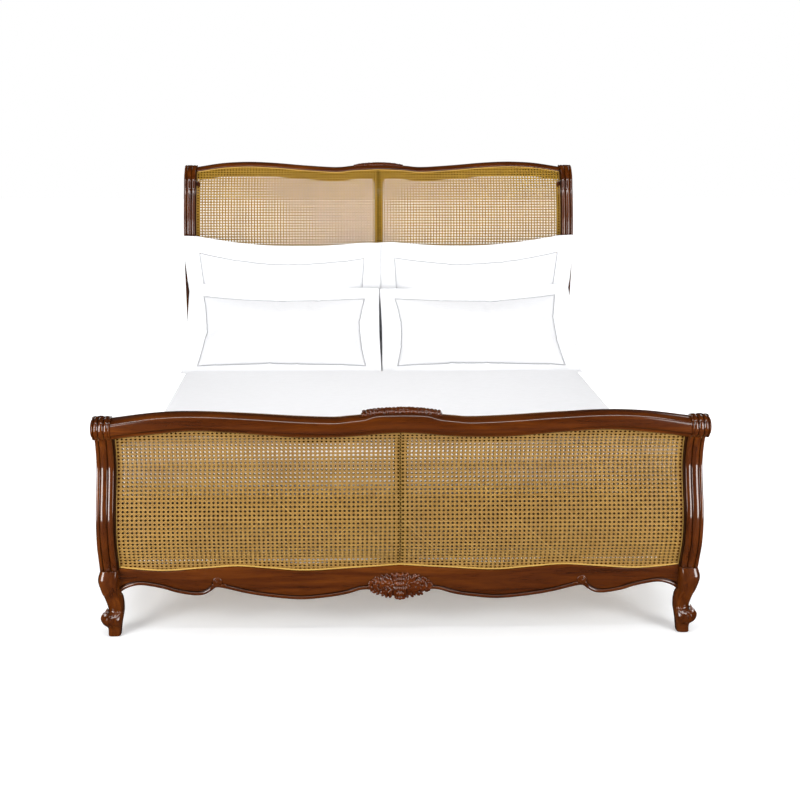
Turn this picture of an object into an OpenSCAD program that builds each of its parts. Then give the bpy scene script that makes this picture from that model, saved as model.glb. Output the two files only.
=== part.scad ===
// Caned sleigh bed for a 160 x 200 cm mattress, in millimetres.
// X runs across the bed, the footboard is at -Y, the headboard at +Y, and the feet stand on Z = 0.

/* [Mattress] */
// Width of the mattress
mattress_w = 1600; // [1590:5:1602]
// Length of the mattress
mattress_l = 2000; // [1980:5:2002]
// Thickness of the mattress
mattress_h = 201; // [180:1:201]

/* [Posts] */
// Width of a post, seen from the front
post_w = 54; // [50:1:58]
// Depth of a post, seen from the side
post_t = 54; // [52:1:56]
// Radius of the roll block on top of a post
roll_r = 33; // [31:1:34]

/* [Cane] */
// Thickness of one sheet of woven cane
cane_t = 1.5; // [1:0.1:2]
// Distance from the middle of a board to the inside of a cane sheet
cane_gap = 11; // [10:0.5:12]
// Width of the spline that holds the cane
spline_w = 6; // [4:0.5:8]

/* [Base] */
// Height of a side rail
side_rail_h = 140; // [130:1:140]
// Thickness of a side rail
side_rail_t = 26; // [22:1:28]
// Number of slats
slat_count = 13; // [10:1:13]
// Width of a slat
slat_w = 100; // [80:1:110]
// Thickness of a slat
slat_t = 20; // [15:1:20]

/* [Hidden] */
$fn = 48;
// Steps between two points of a smoothed line: long lines, and lines that need fewer
step_n = 6;
step_few = 3;
step_wave = 4;
// Half the distance between the posts, and the outer face of a post
half_w = 801;
post_out = half_w + post_w;
// Y of each board's own reference line
foot_y = -1100;
head_y = 1010;
// Height where the legs and the aprons begin to lean, and how much the aprons lean
break_z = 197;
lean = 1 / 8;
// Top of the block on a post that takes a side rail
block_z = 320;
// Top of the slats, height of the ledger screws and underside of the side rails
slat_top = 212;
ledger_screw_z = slat_top - slat_t - 9;
rail_z = 168;
// Play in a closed joint, and the length by which a cutter passes a face
clear = 0.2;
past = 1;
// More than any depth or width of a board, for outlines cut by one another
far_out = 300;

// Middle line of a post seen from the side, as [outward, height]: foot and head
foot_mid = [[-82, 150], [-72, 197], [-52, 245], [-35, 285], [-27, 335], [-31, 385], [-42, 430],
    [-52, 475], [-55, 510], [-49, 550], [-38, 585], [-20, 617], [-6, 643], [4, 659]];
head_mid = [[33, 150], [47, 197], [86, 320], [107, 430], [96, 580], [60, 750], [27, 905],
    [32, 1020], [52, 1120], [74, 1180], [91, 1215], [102, 1242]];
// Middle of the roll block, as [outward, height]
foot_roll = [17, 629];
head_roll = [100, 1206];
// Where a post's inner edge starts to wrap over its roll block
foot_wrap = 588;
head_wrap = 1140;
// Outward reach of a top rail at its ends and at its crest
foot_reach = [44, 50];
head_reach = [132, 140];
// Outward place of the faces that take the side rails
foot_block = -118;
head_block = 18;

// Front outlines of the wavy rails, as [distance from the middle, height]
foot_top_line = [[0, 674], [70, 672], [105, 663], [150, 658], [194, 655], [300, 659.5], [430, 668.5],
    [569, 675], [680, 671], [800.5, 655]];
foot_low_line = [[0, 612], [70, 608.5], [105, 604], [150, 601], [194, 599.5], [300, 600.5], [430, 612],
    [569, 620.5], [680, 612], [800.5, 597]];
head_top_line = [[0, 1241], [110, 1236], [160, 1230.5], [212, 1230], [330, 1237.5], [450, 1247.5],
    [545, 1252.5], [620, 1252], [700, 1246.5], [800.5, 1231]];
head_rail_h = 50;
head_low_line = [for (p = head_top_line) [p[0], p[1] - head_rail_h]];
// Height of cane lip below a rail's top edge, on the side that faces the bed
lip = 18;
apron_top_line = [[0, 207], [120, 198], [267, 189], [370, 197], [464, 205], [560, 199], [661, 191],
    [730, 194], [801, 203]];
apron_low_line = [[0, 118], [60, 126], [105, 130], [156, 115.5], [213, 106], [285, 100.5], [371, 108.5],
    [439, 120.5], [497, 135.5], [525, 140], [540, 130], [563, 117.5], [594, 116], [640, 124.5],
    [681, 137.5], [741, 148.5], [780, 140], [801, 126]];

// Smooth line through points: each stretch is a cubic through its own ends and the next points
function knot(p, i) = p[max(0, min(len(p) - 1, i))];
function blend(a, b, c, d, t) = 0.5 * (2 * b + (c - a) * t + (2 * a - 5 * b + 4 * c - d) * t * t
    + (3 * b - a - 3 * c + d) * t * t * t);
function smooth(p, n = step_n) = concat([for (i = [0 : len(p) - 2]) for (k = [0 : n - 1])
    blend(knot(p, i - 1), p[i], p[i + 1], knot(p, i + 2), k / n)], [p[len(p) - 1]]);
// A line run backwards, mirrored about X = 0, raised by d, and its height at x
function flip(p) = [for (i = [len(p) - 1 : -1 : 0]) p[i]];
function both_sides(p) = concat([for (q = flip(p)) [-q[0], q[1]]], [for (i = [1 : len(p) - 1]) p[i]]);
function lift(p, d) = [for (q = p) [q[0], q[1] + d]];
function at_x(p, x) = lookup(abs(x), p);

// A line moved sideways by d, along its own normal, and the band between two such lines
function normal(p, i) = let (a = knot(p, i - 1), b = knot(p, i + 1), v = b - a) [v[1], -v[0]] / norm(v);
function beside(p, d) = [for (i = [0 : len(p) - 1]) p[i] + d * normal(p, i)];
function band(p, low, high) = concat(beside(p, high), flip(beside(p, low)));

foot_line = smooth(foot_mid);
head_line = smooth(head_mid);
foot_top = smooth(foot_top_line, step_few);
foot_low = smooth(foot_low_line, step_few);
head_top = smooth(head_top_line, step_few);
head_low = smooth(head_low_line, step_few);
apron_top = smooth(apron_top_line, step_wave);
apron_low = smooth(apron_low_line, step_wave);

// Boards are drawn with outward as +Y, then set in place
module at_foot() { translate([0, foot_y, 0]) mirror([0, 1, 0]) children(); }
// The headboard's place
module at_head() { translate([0, head_y, 0]) children(); }
// Right-hand parts are mirrored to the left
module on_side(side) { mirror([side > 0 ? 0 : 1, 0, 0]) children(); }

// A side outline [outward, height] given a width in X
module across(x0, x1) {
    translate([x0, 0, 0]) rotate([90, 0, 90]) linear_extrude(x1 - x0) children();
}

// A front outline [x, height] given a depth in Y
module deep(y0, y1) {
    translate([0, y1, 0]) rotate([90, 0, 0]) linear_extrude(y1 - y0) children();
}

// ---- posts ----

// Cabriole leg, as [x, height]: its outer and inner line, and how far the same curve steps outward
leg_kick = 11;
leg_front = smooth([[855, break_z], [860, 167], [849, 125], [836, 94], [833, 75], [841, 70], [855, 55],
    [849, 39], [835, 24], [834, 0]], step_wave);
leg_inner = smooth([[801, 0], [797, 30], [787, 60], [785, 92], [790, 116], [801, 126]], step_wave);
leg_block_z = 145;

// Cabriole leg: where the front outline and the side outline meet
module leg(mid_low, inner_face) {
    shift = mid_low + post_t / 2 + leg_kick - post_out;
    intersection() {
        deep(-far_out, far_out) polygon(concat(leg_front, leg_inner, [[half_w, break_z]]));
        across(half_w - 100, post_out + 50) polygon(concat([for (p = leg_front) [p[0] + shift, p[1]]],
            [for (p = leg_inner) [p[0] + shift, p[1]]],
            [[inner_face, leg_block_z], [inner_face, break_z]]));
    }
}

// Steps of the wrap over a roll block
wrap_n = 10;
// Side outline of a post: outer edge, and an inner edge that wraps over the roll block
function post_side(line, roll, wrap, inset) = let (
    outer = [for (p = beside(line, post_t / 2 - inset)) if (p[1] < roll[1]) p],
    inner = [for (p = beside(line, inset - post_t / 2)) if (p[1] < wrap) p],
    w0 = inner[len(inner) - 1][0], rise = roll[1] + roll_r - inset - wrap)
    concat(outer, [roll], [for (k = [0 : wrap_n]) let (a = 90 - 90 * k / wrap_n)
        [roll[0] - (roll[0] - w0) * cos(a), wrap + rise * sin(a)]], flip(inner));

// Width of the raised middle and of the edge beads of a post, and how far each lies back
middle_in = 15;
bead_w = 10;
quirk_back = 5;
bead_back = 2;
// Flange of a post that the cane lies on
flange_w = 15;
flange_low = 222;
// Steps of a post's outline taken up by its straight block
block_step = 8;

// Post: three raised bands on a shaped side, the rail's block, the leg, and the seats cut in them
module post(keys, roll, wrap, inner_face, flange_top) {
    panel = smooth(keys);
    line = [for (i = [step_n : len(panel) - 1]) panel[i]];
    difference() {
        union() {
            across(half_w, post_out) polygon(post_side(line, roll, wrap, quirk_back));
            across(half_w + middle_in, post_out - middle_in) polygon(post_side(line, roll, wrap, 0));
            across(half_w, half_w + bead_w) polygon(post_side(line, roll, wrap, bead_back));
            across(post_out - bead_w, post_out) polygon(post_side(line, roll, wrap, bead_back));
            // flange that both cane sheets lie on
            across(half_w - flange_w, half_w) intersection() {
                polygon(band(panel, -cane_gap, cane_gap));
                translate([-far_out, flange_low]) square([2 * far_out, flange_top - flange_low]);
            }
            // straight block that takes the side rail
            across(half_w, post_out) polygon([[inner_face, break_z], [line[0][0], break_z],
                [line[block_step][0], line[block_step][1]], [inner_face, block_z]]);
            leg(line[0][0], inner_face);
        }
        // seat of the roll block
        translate([half_w - flange_w - past, roll[0], roll[1]]) rotate([0, 90, 0])
            cylinder(r = roll_r + clear, h = 2 * post_w);
        cap_dowel_hole(dowel_key(keys), roll);
        rail_plate_recess(inner_face);
        apron_mortise(line[0][0]);
    }
}

// Dowel that holds a roll block: radius, place in X, and its two ends from the roll's centre
dowel_r = 5;
dowel_x = 843;
dowel_ends = [6, 60];
// Point of a post's middle line that its dowel is aimed at
function dowel_key(keys) = keys[len(keys) - 5];
// Dowel from the roll block down into the post; low and high are distances from the roll's centre
module dowel_shape(key, roll, r, low, high) {
    translate([dowel_x, roll[0], roll[1]]) rotate([atan2(roll[0] - key[0], key[1] - roll[1]), 0, 0])
        translate([0, 0, low]) cylinder(r = r, h = high - low);
}
// Hole for the dowel, a little longer at both ends
module cap_dowel_hole(key, roll) {
    dowel_shape(key, roll, dowel_r + clear / 2, dowel_ends[0] - 2, dowel_ends[1] + 2);
}
// The dowel itself
module cap_dowel(key, roll) { dowel_shape(key, roll, dowel_r, dowel_ends[0], dowel_ends[1]); }

// Tenon on each end of an apron: its size, height, and how far it lies back from the post's middle
apron_tenon = [24, 14, 36];
tenon_z = 142;
tenon_back = 12 + apron_tenon[1] / 2;
// Mortise in a post for that tenon
module apron_mortise(mid) {
    translate([half_w - past, mid - tenon_back - clear / 2, tenon_z - clear / 2])
        cube([apron_tenon[0] + past + 0.5, apron_tenon[1] + clear, apron_tenon[2] + clear]);
}

// Roll block: a turned drum with three reeds and a domed end
reed_w = 20;
reed_n = 8;
reed_depth = 3;
cap_end = [61, 26];
reed_start = 0.5;
function reed(i) = [for (k = [0 : reed_n]) [reed_start + reed_w * (i + k / reed_n),
    roll_r - reed_depth + reed_depth * sin(180 * k / reed_n)]];
cap_profile = concat([[0, 0], [0, roll_r - reed_depth]], reed(0), reed(1), reed(2),
    [cap_end, [cap_end[0], 0]]);
// Tongue on each end of a top rail that enters the roll block
tongue = [31, 24, 20];
// Roll block with the holes for its dowel and for the tongue
module cap(keys, roll) {
    difference() {
        translate([half_w, roll[0], roll[1]]) rotate([0, 90, 0]) rotate_extrude()
            polygon([for (p = cap_profile) [p[1], p[0]]]);
        cap_dowel_hole(dowel_key(keys), roll);
        translate([half_w - past, roll[0] - (tongue[1] + clear) / 2, roll[1] - (tongue[2] + clear) / 2])
            cube([tongue[0] + 2 * past, tongue[1] + clear, tongue[2] + clear]);
    }
}

// ---- rails and aprons ----

// A signed power, for rounded squares
function power(v, e) = sign(v) * pow(abs(v), e);
// Place of a line's point at height z
function out_at(line, z) = lookup(z, [for (p = line) [p[1], p[0]]]);
// Section of a top rail: wall behind the cane lip, roundness, turn of the roll, its steps, and the
// width over which the rail swells forward once
lip_wall = 5.5;
roundness = 0.8;
roll_turn = 262;
roll_n = 15;
lip_n = 5;
swell_w = 1138;
gap_behind = 0.3;
// Section of a top rail at x: a roll from the lip over the top and round to the underside, then up
// the back of the inner cane sheet. The top is cut flat at seat, where the carving lies.
function ring(x, inner, reach, top, low, seat, seat_half) = let (
    edge = top - lip, back = out_at(inner, edge), near = back - lip_wall,
    far = reach[0] + (reach[1] - reach[0]) * pow(sin(180 * abs(x) / swell_w), 2),
    mid = (near + far) / 2, half = (far - near) / 2, zc = (top + low) / 2, up = (top - low) / 2)
    concat([for (k = [lip_n : -1 : 0]) let (z = low + (edge - low) * k / lip_n)
        [x, out_at(inner, z) + gap_behind, z]],
        [for (k = [0 : roll_n]) let (a = -90 + roll_turn * k / roll_n,
            z = zc + up * power(sin(a), roundness))
            [x, mid + half * power(cos(a), roundness), abs(x) < seat_half ? min(z, seat) : z]],
        [[x, near, edge]]);

// A solid through a row of rings that have the same number of points
module swept(rings) {
    n = len(rings);
    m = len(rings[0]);
    polyhedron(points = [for (r = rings) each r], faces = concat([[for (k = [0 : m - 1]) k]],
        [for (i = [0 : n - 2]) for (k = [0 : m - 1]) let (q = (k + 1) % m)
            [i * m + k, (i + 1) * m + k, (i + 1) * m + q, i * m + q]],
        [[for (k = [m - 1 : -1 : 0]) (n - 1) * m + k]]));
}

// Half the width of the flat that carries a crest carving, and its depth below the line at seat_x
carving_half = 118;
seat_x = 60;
seat_cut = 9;
// Depth of the flange below each top rail
rail_flange = 26;
// Top rail: the swept roll, the flange behind the cane and a tongue on each end
module top_rail(top, low, reach, line, roll) {
    inner = beside(line, -cane_gap);
    top_flange(line, low, rail_flange);
    seat = at_x(top, seat_x) - seat_cut;
    half = [for (p = top) p[0]];
    right = concat([for (x = half) if (x < carving_half) x], [carving_half - 0.01, carving_half + 0.01],
        [for (x = half) if (x > carving_half) x]);
    xs = concat([for (x = flip(right)) -x], [for (i = [1 : len(right) - 1]) right[i]]);
    swept([for (x = xs) ring(x, inner, reach, at_x(top, x), at_x(low, x), seat, carving_half)]);
    for (s = [-1, 1]) on_side(s) {
        translate([half_w - 2 * past, roll[0] - tongue[1] / 2, roll[1] - tongue[2] / 2]) cube(tongue);
    }
}

// Half the length of a flange between two posts, and how far it enters the roll above
flange_up = 6;
flange_half = half_w - flange_w - clear;
// Top flange behind the cane
module top_flange(line, low, depth) {
    intersection() {
        across(-flange_half, flange_half) polygon(band(line, -cane_gap, cane_gap));
        deep(-far_out, far_out) polygon(concat(both_sides(lift(low, flange_up)),
            flip(both_sides(lift(low, -depth)))));
    }
}

// Face of an apron: how far it lies outward of the line, between two heights beyond its outline
face_out = 17;
face_z = [90, 215];
apron_flange = [-3, 15];
// Apron: a shaped board with a leaning face, the flange behind the cane and a tenon on each end
module apron(line, inner_face) {
    mid = line[step_n][0];
    out = mid + face_out;
    intersection() {
        deep(-far_out, far_out) polygon(concat(both_sides(apron_top), flip(both_sides(apron_low))));
        across(-half_w, half_w) polygon([[out + lean * (face_z[0] - break_z), face_z[0]],
            [out + lean * (face_z[1] - break_z), face_z[1]], [inner_face, face_z[1]],
            [inner_face, face_z[0]]]);
    }
    intersection() {
        deep(-far_out, far_out) polygon(concat(both_sides(lift(apron_top, apron_flange[0])),
            flip(both_sides(lift(apron_top, apron_flange[1])))));
        across(-flange_half, flange_half) polygon(band(line, -cane_gap, cane_gap));
    }
    for (s = [-1, 1]) on_side(s)
        translate([half_w - 2 * past, mid - tenon_back, tenon_z])
            cube([apron_tenon[0] + 2 * past, apron_tenon[1], apron_tenon[2]]);
}

// Upright strip in the middle of a board, between the two cane sheets
stile_half = 19;
module stile(line, top, low) {
    intersection() {
        across(-stile_half, stile_half) polygon(band(line, -cane_gap + clear, cane_gap - clear));
        translate([-far_out, -far_out, low]) cube([2 * far_out, 2 * far_out, top - low]);
    }
}

// ---- cane ----

// Half the width of a cane sheet, and the thickness of the spline over its edge
cane_half = half_w - 0.5;
spline_t = 2.5;
// One sheet of woven cane, outside or inside the board's line
module cane(line, side, low, high) {
    near = side > 0 ? cane_gap : -cane_gap - cane_t;
    intersection() {
        across(-cane_half, cane_half) polygon(band(line, near, near + cane_t));
        deep(-far_out, far_out) polygon(concat(both_sides(high), flip(both_sides(low))));
    }
}

// Spline that runs round the edge of a sheet
module cane_edge(line, side, low, high) {
    near = side > 0 ? cane_gap + cane_t : -cane_gap - cane_t - spline_t;
    open = cane_half - spline_w;
    difference() {
        intersection() {
            across(-cane_half, cane_half) polygon(band(line, near, near + spline_t));
            deep(-far_out, far_out) polygon(concat(both_sides(high), flip(both_sides(low))));
        }
        intersection() {
            deep(-2 * far_out, 2 * far_out) polygon(concat(both_sides(lift(high, -spline_w)),
                flip(both_sides(lift(low, spline_w)))));
            across(-open, open) translate([-far_out, 0]) square([2 * far_out, 5 * far_out]);
        }
    }
}

// ---- carvings ----

// Crest: half its width, depth, rise over the line, scallops and steps of its outline
crest_half = 115;
crest_deep = 20;
crest_rise = 10;
crest_lobe = 23;
crest_n = 40;
// Crest carving on the flat of a top rail
module crest(top, mid) {
    seat = at_x(top, seat_x) - seat_cut;
    lobes = [for (k = [0 : crest_n]) let (x = crest_half * (2 * k / crest_n - 1))
        [x, seat + 1 + (at_x(top, 0) - seat + crest_rise) * sqrt(max(0, 1 - pow(x / (crest_half + 1), 2)))
            * (0.86 + 0.14 * abs(cos(180 * x / crest_lobe)))]];
    deep(mid - crest_deep, mid + crest_deep)
        polygon(concat([[crest_half, seat], [-crest_half, seat]], lobes));
}

// Drop on the foot apron: half its size, height of its middle, thickness and lobes
drop_half = [93, 40];
drop_z = 143;
drop_t = 13;
drop_lobes = 12;
drop_n = 72;
// Carved shell in the middle of the foot apron, on its leaning face
module shell_drop(line) {
    out = line[step_n][0] + face_out;
    outline = [for (k = [0 : drop_n - 1]) let (a = 360 * k / drop_n, r = 1 + 0.07 * cos(drop_lobes * a))
        drop_z * [0, 1] + r * [drop_half[0] * cos(a), drop_half[1] * sin(a)]];
    low = out + lean * (face_z[0] - break_z);
    high = out + lean * (face_z[1] - break_z);
    intersection() {
        deep(-far_out, far_out) polygon(outline);
        across(-far_out, far_out) polygon([[low, face_z[0]], [high, face_z[1]],
            [high + drop_t, face_z[1]], [low + drop_t, face_z[0]]]);
    }
}

// ---- base ----

// Ends of the side rails, and their inner face
rail_y0 = foot_y - foot_block;
rail_y1 = head_y + head_block;
side_rail_x = 805;
// Ledger under the slats: width, distance from a rail's ends, and its screws
ledger_w = 28;
ledger_in = 20;
screw_n = 6;
screw_in = 120;
function screw_y(i) = rail_y0 + screw_in + (rail_y1 - rail_y0 - 2 * screw_in) * i / (screw_n - 1);

// Plates that lock a rail to a post: size, pocket for the hooks, middle, and spacing of their parts
plate = [18, 3, 110];
hook_pocket = [10, 17, 90];
plate_screw_z = [-48, 48];
hook_z = [-24, 24];
hook_half = 1.5;
slot = [4, 28];
shank_r = 1.9;
pilot_r = 2;
plate_hole_r = 2.2;
screw_l = 22;
screw_gap = 0.3;
plate_x = side_rail_x + side_rail_t / 2;
plate_z = rail_z + side_rail_h / 2;

// Recess in a post, in board coordinates, for the slotted plate and its hooks
module rail_plate_recess(inner_face) {
    translate([plate_x - plate[0] / 2, inner_face - past, plate_z - plate[2] / 2])
        cube([plate[0], plate[1] + past, plate[2]]);
    translate([plate_x - hook_pocket[0] / 2, inner_face - past, plate_z - hook_pocket[2] / 2])
        cube(hook_pocket);
    for (z = plate_screw_z) translate([plate_x, inner_face, plate_z + z]) rotate([-90, 0, 0])
        cylinder(r = pilot_r, h = screw_l + 2);
}

// A plate's body of thickness t, with play on every side of its recess
module plate_body(y, t) {
    translate([plate_x - (plate[0] - clear) / 2, y, plate_z - (plate[2] - clear) / 2])
        cube([plate[0] - clear, t, plate[2] - clear]);
}

// Holes for the two screws of a plate
module plate_holes(y) {
    for (z = plate_screw_z) translate([plate_x, y - 2 * plate[1], plate_z + z]) rotate([-90, 0, 0])
        cylinder(r = plate_hole_r, h = 5 * plate[1]);
}

// Slotted plate in a post
module post_plate(inner_face) {
    difference() {
        plate_body(inner_face, plate[1] - clear / 2);
        for (z = hook_z) translate([plate_x - slot[0] / 2, inner_face - past, plate_z + z - 13])
            cube([slot[0], plate[1] + 2 * past, slot[1]]);
        plate_holes(inner_face);
    }
}

// Plate let into a rail's end, with two hooks that drop into the slotted plate
module hook_plate(inner_face) {
    difference() {
        union() {
            plate_body(inner_face - plate[1] + clear / 2, plate[1] - clear);
            for (z = hook_z) across(plate_x - hook_half, plate_x + hook_half)
                polygon([[inner_face - 0.5, plate_z + z - 6], [inner_face + 13, plate_z + z - 11],
                    [inner_face + 13, plate_z + z + 12], [inner_face - 0.5, plate_z + z + 12]]);
        }
        plate_holes(inner_face);
    }
}

// Two screws of a plate, pointing away from the joint face
module plate_screw_pair(inner_face) {
    for (z = plate_screw_z, way = [0, 1])
        translate([plate_x, inner_face, plate_z + z]) rotate([-90, 0, 0]) mirror([0, 0, way])
            translate([0, 0, screw_gap]) cylinder(r = shank_r, h = screw_l);
}

// The first child at both foot corners, the second at both head corners
module each_corner() {
    for (s = [-1, 1]) on_side(s) {
        at_foot() children(0);
        at_head() children(1);
    }
}

// Ledger screws: shank, head, their clearance and pilot holes
ledger_shank_r = 2.4;
ledger_head_r = 4.4;
ledger_grip = 13;
// Side rail with the recesses for its plates and the pilot holes for the ledger's screws
module side_rail(s) {
    on_side(s) difference() {
        translate([side_rail_x, rail_y0, rail_z]) cube([side_rail_t, rail_y1 - rail_y0, side_rail_h]);
        for (y = [rail_y0, rail_y1]) {
            translate([plate_x - plate[0] / 2, y - plate[1], plate_z - plate[2] / 2])
                cube([plate[0], 2 * plate[1], plate[2]]);
            for (z = plate_screw_z) translate([plate_x, y, plate_z + z]) rotate([90, 0, 0])
                cylinder(r = pilot_r, h = 2 * (screw_l + 6), center = true);
        }
        for (i = [0 : screw_n - 1]) translate([side_rail_x - past, screw_y(i), ledger_screw_z])
            rotate([0, 90, 0]) cylinder(r = ledger_shank_r + clear / 2, h = ledger_grip + 4);
    }
}

// Ledger screwed to the inside of a side rail
module ledger(s) {
    on_side(s) difference() {
        translate([side_rail_x - ledger_w, rail_y0 + ledger_in, rail_z])
            cube([ledger_w, rail_y1 - rail_y0 - 2 * ledger_in, slat_top - slat_t - rail_z]);
        for (i = [0 : screw_n - 1])
            translate([side_rail_x - ledger_w - past, screw_y(i), ledger_screw_z]) rotate([0, 90, 0]) {
                cylinder(r = ledger_shank_r + clear, h = ledger_w + 2 * past);
                cylinder(r = ledger_head_r + clear, h = 5);
            }
    }
}

// One countersunk screw through a ledger into its rail
module ledger_screw(s, i) {
    on_side(s) translate([side_rail_x - ledger_w, screw_y(i), ledger_screw_z]) rotate([0, 90, 0]) {
        translate([0, 0, 0.5]) cylinder(r = ledger_head_r, h = 3.2);
        translate([0, 0, past]) cylinder(r = ledger_shank_r, h = ledger_w + ledger_grip);
    }
}

// Slats: distance from the rails' ends, half their length, and the chamfer of their edges
slat_in = 30;
slat_half = 803;
slat_edge = 4;
slat_pitch = (rail_y1 - rail_y0 - 2 * slat_in - slat_w) / (slat_count - 1);
// One slat across the bed
module slat(i) {
    y = rail_y0 + slat_in + slat_pitch * i;
    r = slat_edge;
    translate([0, y, slat_top - slat_t]) across(-slat_half, slat_half)
        polygon([[r, 0], [slat_w - r, 0], [slat_w, r], [slat_w, slat_t - r], [slat_w - r, slat_t],
            [r, slat_t], [0, slat_t - r], [0, r]]);
}

// Centre beam under the slats, clear of its shoes at both ends
beam_w = 60;
beam_z = 142;
beam_top = slat_top - slat_t;
beam_y0 = rail_y0 + 3.5;
beam_y1 = rail_y1 - 3.5;
// Legs under the beam: place, width, underside, and the round spigot that enters the beam
support_y = [-330, 370];
support_w = 46;
foot_gap = 22;
spigot_r = 10;
spigot_h = 28;
// Threaded stem of a levelling foot
stem_r = 5;
stem_h = 68;

// Beam with the sockets for its legs
module centre_beam() {
    difference() {
        translate([-beam_w / 2, beam_y0, beam_z]) cube([beam_w, beam_y1 - beam_y0, beam_top - beam_z]);
        for (y = support_y) translate([0, y, beam_z - past])
            cylinder(r = spigot_r + clear / 2, h = spigot_h + 2 + past);
    }
}

// Shoe: wall, depth, height of the screws, and their places
shoe_wall = 2.5;
shoe_gap = 0.3;
shoe_deep = 45;
shoe_z = beam_z + 23;
shoe_screw_x = [-18, 18];

// Steel shoe that carries an end of the beam; face is the apron's inner face
module shoe(face, way) {
    translate([0, face, 0]) mirror([0, way < 0 ? 1 : 0, 0]) difference() {
        translate([-beam_w / 2 - shoe_gap - shoe_wall, 0, beam_z - shoe_wall])
            cube([beam_w + 2 * (shoe_gap + shoe_wall), shoe_deep, beam_top - beam_z - 4]);
        translate([-beam_w / 2 - shoe_gap, shoe_wall + 0.5, beam_z])
            cube([beam_w + 2 * shoe_gap, 2 * shoe_deep, 2 * beam_w]);
        for (x = shoe_screw_x) translate([x, -past, shoe_z]) rotate([-90, 0, 0])
            cylinder(r = plate_hole_r, h = 2 * shoe_wall);
    }
}

// Leg under the beam, with the hole for a levelling foot's stem
module support_leg(i) {
    translate([0, support_y[i], 0]) difference() {
        union() {
            translate([-support_w / 2, -support_w / 2, foot_gap])
                cube([support_w, support_w, beam_z - foot_gap]);
            translate([0, 0, beam_z - past]) cylinder(r = spigot_r, h = spigot_h + past);
        }
        translate([0, 0, foot_gap - past]) cylinder(r = stem_r + clear / 2, h = stem_h - 6);
    }
}

// Levelling foot: a flat pad, its shoulder and the stem
pad_profile = [[0, 0], [20, 0], [22, 2], [22, 5], [20, 7], [8, 7], [8, 9], [0, 9]];
module levelling_foot(i) {
    translate([0, support_y[i], 0]) {
        rotate_extrude() polygon(pad_profile);
        cylinder(r = stem_r, h = stem_h);
    }
}

// ---- bedding ----

// Middle of the bed, top of the mattress and of the cover, and how far the cover stays from the head
bed_y = (rail_y0 + rail_y1) / 2;
mattress_top = slat_top + mattress_h;
cover_top = mattress_top + 20;
cover_head = 455;
// Cover: gap beside the mattress, thickness of its sides, their lower edge, gap at the foot
cover_gap = 0.5;
cover_t = 3.5;
cover_low = 260;
cover_foot = 4;
cover_edge = 12;
corner_r = 20;

// Rectangle with rounded corners
function rounded_box(w, l, r) = [for (q = [[1, 1, 0], [-1, 1, 90], [-1, -1, 180], [1, -1, 270]])
    for (k = [0 : 4]) [q[0] * (w / 2 - r) + r * cos(q[2] + 22.5 * k),
        q[1] * (l / 2 - r) + r * sin(q[2] + 22.5 * k)]];

// Mattress
module mattress() {
    translate([0, bed_y, slat_top]) linear_extrude(mattress_h)
        polygon(rounded_box(mattress_w, mattress_l, corner_r));
}

// Cover laid on the mattress and tucked in beside it
module bed_cover() {
    edge = mattress_w / 2 + cover_gap;
    out = edge + cover_t;
    shoulder = cover_top - cover_edge;
    deep(rail_y0 + cover_foot, head_y - cover_head) polygon([[-out, cover_low], [-edge, cover_low],
        [-edge, mattress_top], [edge, mattress_top], [edge, cover_low], [out, cover_low],
        [out, shoulder], [out - cover_edge + 0.5, cover_top], [-out + cover_edge - 0.5, cover_top],
        [-out, shoulder]]);
}

// Pillows: width, height and thickness of the filled part, then place and lean
brim_w = 50;
brim_t = 4;
pillow_n = 24;
back_size = [740, 430, 110];
back_at = [432, head_y - 62, cover_top];
back_lean = 3;
front_size = [680, 345, 130];
front_at = [420, head_y - 394, cover_top - 3];
front_lean = 46;
// Pillow: a lens-shaped body inside a flat brim, standing on its long edge
module pillow(size) {
    side = [for (k = [0 : pillow_n]) let (a = 360 * k / pillow_n)
        [size[2] / 2 * power(cos(a), 0.9), size[1] / 2 * (1 + sin(a))]];
    across(-size[0] / 2, size[0] / 2) polygon(side);
    translate([-size[0] / 2 - brim_w, -brim_t / 2, -brim_w / 3])
        cube([size[0] + 2 * brim_w, brim_t, size[1] + brim_w * 4 / 3]);
}

// A pillow leaned back at its place, on the side s
module leaned(at, lean_back, s) {
    translate([s * at[0], at[1], at[2]]) rotate([-lean_back, 0, 0]) children();
}
// Pillow at the back
module back_pillow(s) { leaned(back_at, back_lean, s) pillow(back_size); }
// Pillow in front of it
module front_pillow(s) { leaned(front_at, front_lean, s) pillow(front_size); }

// ---- finished sub-parts ----

wood = [0.36, 0.17, 0.08];
straw = [0.80, 0.64, 0.36];
pale_wood = [0.78, 0.66, 0.48];
steel = [0.62, 0.62, 0.64];
cotton = [0.95, 0.95, 0.96];
// Top of each post's flange, and the two ends of the stiles between the flanges of rail and apron
foot_flange = at_x(foot_low, half_w - 6) - 2;
head_flange = at_x(head_low, half_w - 6) - 2;
stile_gap = 0.5;
foot_stile_top = at_x(foot_low, stile_half) - rail_flange - stile_gap;
head_stile_top = at_x(head_low, stile_half) - rail_flange - stile_gap;
stile_low = at_x(apron_top, 0) + apron_flange[1] + gap_behind;

// Posts, in pairs
module foot_post(s) {
    color(wood) at_foot() on_side(s) post(foot_mid, foot_roll, foot_wrap, foot_block, foot_flange);
}
// Headboard's post
module head_post(s) {
    color(wood) at_head() on_side(s) post(head_mid, head_roll, head_wrap, head_block, head_flange);
}
// Roll blocks
module foot_cap(s) { color(wood) at_foot() on_side(s) cap(foot_mid, foot_roll); }
// Headboard's roll block
module head_cap(s) { color(wood) at_head() on_side(s) cap(head_mid, head_roll); }
// Top rails
module foot_top_rail() {
    color(wood) at_foot() top_rail(foot_top, foot_low, foot_reach, foot_line, foot_roll);
}
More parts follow.
